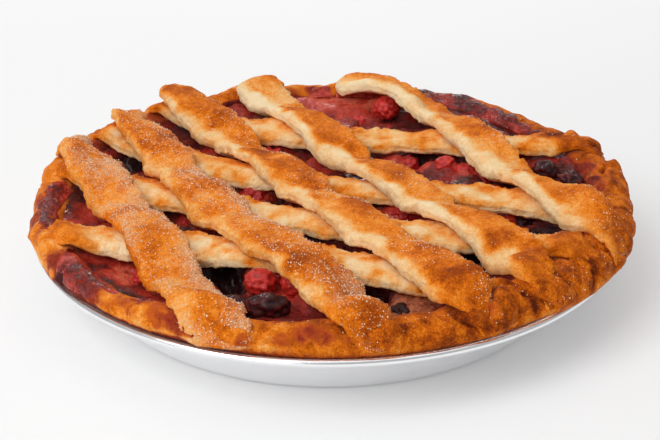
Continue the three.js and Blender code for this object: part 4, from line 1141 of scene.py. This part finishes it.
def build_sugar(sheets, count):
    pts, nrm, wts = [], [], []
    for P, N, W in sheets:
        a = np.linalg.norm(np.cross(np.gradient(P, axis=0), np.gradient(P, axis=1)), axis=-1)
        pts.append(P.reshape(-1, 3))
        nrm.append(N.reshape(-1, 3))
        wts.append((a * np.clip(W, 0, None) ** 2.0 * (N[..., 2] > 0.15)).ravel())
    pts, nrm, wts = np.concatenate(pts), np.concatenate(nrm), np.concatenate(wts)
    r = np.random.default_rng(9)
    pick = r.choice(len(pts), count, p=wts / wts.sum())
    nn = nrm[pick]
    t1 = np.cross(nn, np.array([0.3, 0.2, 1.0]))
    t1 /= np.linalg.norm(t1, axis=1, keepdims=True)
    t2 = np.cross(nn, t1)
    base = pts[pick] + t1 * r.normal(0, 0.55, (count, 1)) + t2 * r.normal(0, 0.55, (count, 1))
    size = r.uniform(0.08, 0.17, (count, 1)) * r.choice([1.0, 1.25], (count, 1), p=[0.85, 0.15])
    cube = np.array([[x, y, z] for x in (-1, 1) for y in (-1, 1) for z in (-1, 1)], float)
    faces = np.array([[0, 1, 3, 2], [4, 6, 7, 5], [0, 4, 5, 1], [2, 3, 7, 6], [0, 2, 6, 4], [1, 5, 7, 3]])
    shape = cube[None] * r.uniform(0.7, 1.2, (count, 1, 3)) * size[:, None] * (1 + 0.18 * r.normal(size=(count, 8, 1)))
    q = r.normal(size=(count, 4))
    q /= np.linalg.norm(q, axis=1, keepdims=True)
    w, x, y, z = q.T
    Rm = np.stack([np.stack([1 - 2 * (y * y + z * z), 2 * (x * y - z * w), 2 * (x * z + y * w)], -1),
                   np.stack([2 * (x * y + z * w), 1 - 2 * (x * x + z * z), 2 * (y * z - x * w)], -1),
                   np.stack([2 * (x * z - y * w), 2 * (y * z + x * w), 1 - 2 * (x * x + y * y)], -1)], 1)
    V = np.einsum("nij,nkj->nki", Rm, shape) + (base + nrm[pick] * size * 0.25)[:, None]
    F = faces[None] + (np.arange(count) * 8)[:, None, None]
    make("sugar_grains", V.reshape(-1, 3), [F.reshape(-1, 4)], {}, sugar_material(), smooth_shade=False)


# ------------------------------------------------------------------ build the pie
build_tin()
rim_P, rim_sugar, rim_N = build_crust()
build_filling()
build_boiled(rim_P, rim_N)
build_berries()
build_sunken()

sheets = [(rim_P, rim_N, rim_sugar * 0.42)]
laid = []
for k, s in enumerate(LOWER):
    dr = drape(s, support, 0.03)
    laid.append((s, dr))
    o, P, N, W, top = build_strip(s, dr, LOW_T, False, k)
    sheets.append((P, N, W * top * 0.7))


def under_upper(x, y):
    m = support(x, y)
    for s, dr in laid:
        m = np.maximum(m, strip_top(s, dr, LOW_T, x, y))
    for b in BERRIES:
        r = b["r"] + 0.45
        u = np.hypot((x - b["x"]) / (r * b["long"]), (y - b["y"]) / r)
        z0 = float(support(np.array(float(b["x"])), np.array(float(b["y"])))) + b["r"] * 0.42
        m = np.maximum(m, np.where(u < 1, z0 + 0.85 * r * np.sqrt(np.clip(1 - u * u, 0, 1)), -1e3))
    return m


for k, s in enumerate(UPPER):
    dr = drape(s, under_upper, 0.02)
    o, P, N, W, top = build_strip(s, dr, TOP_T, True, k)
    sheets.append((P, N, W * top))

build_sugar(sheets, 9000)

# ------------------------------------------------------------------ floor, light and camera
floor_mat = Nodes("pale_floor")
floor_mat.link(floor_mat.ramp(floor_mat.noise(400, 2), [(0.3, (0.865, 0.865, 0.865)), (0.7, (0.88, 0.88, 0.88))]), floor_mat.sh.inputs["Base Color"])
floor_mat.sh.inputs["Roughness"].default_value = 0.9
floor_mat.sh.inputs["Specular IOR Level"].default_value = 0.1
me = bpy.data.meshes.new("floor")
me.from_pydata([(-4, -4, -0.0002), (4, -4, -0.0002), (4, 4, -0.0002), (-4, 4, -0.0002)], [], [(0, 1, 2, 3)])
me.materials.append(floor_mat.m)
floor = bpy.data.objects.new("floor", me)
bpy.context.scene.collection.objects.link(floor)


def area(name, at, target, size, power, color=(1, 1, 1)):
    d = bpy.data.lights.new(name, "AREA")
    d.shape = "RECTANGLE"
    d.size, d.size_y = size
    d.energy = power
    d.color = color
    o = bpy.data.objects.new(name, d)
    bpy.context.scene.collection.objects.link(o)
    o.location = at
    o.rotation_euler = (Vector(target) - Vector(at)).to_track_quat("-Z", "Y").to_euler()
    return o


area("key_left", (-0.75, -0.85, 1.10), (0, 0, 0.03), (0.9, 0.9), 11.5)
area("front_fill", (-0.95, -1.60, 0.36), (-0.05, 0, 0.0), (1.2, 0.5), 4.2)
area("top_soft", (0.0, 0.15, 1.70), (0, 0, 0), (2.2, 2.2), 9.5)
for k, at in enumerate(((-0.38, 1.02, 0.62), (0.04, 1.10, 0.56), (0.44, 0.98, 0.62))):
    lamp = area("glint_%d" % (k + 1), at, (0, 0, 0.03), (0.20, 0.12), 1.15)
    lamp.data.use_shadow = False

world = bpy.data.worlds.new("studio")
bpy.context.scene.world = world
world.use_nodes = True
world.node_tree.nodes["Background"].inputs["Color"].default_value = (1, 1, 1, 1)
world.node_tree.nodes["Background"].inputs["Strength"].default_value = 0.42

cam = bpy.data.cameras.new("camera")
cam.sensor_fit = "HORIZONTAL"
cam.sensor_width = 36.0
cam.lens = 76.36
cam.clip_start = 0.01
cam_o = bpy.data.objects.new("camera", cam)
bpy.context.scene.collection.objects.link(cam_o)
cam_o.location = (0.0, -0.50598, 0.25961)
cam_o.rotation_euler = (math.radians(90 - 25.03), 0.0, math.radians(-0.08))
bpy.context.scene.camera = cam_o

bpy.context.scene.view_settings.view_transform = "Standard"
bpy.context.scene.view_settings.look = "None"
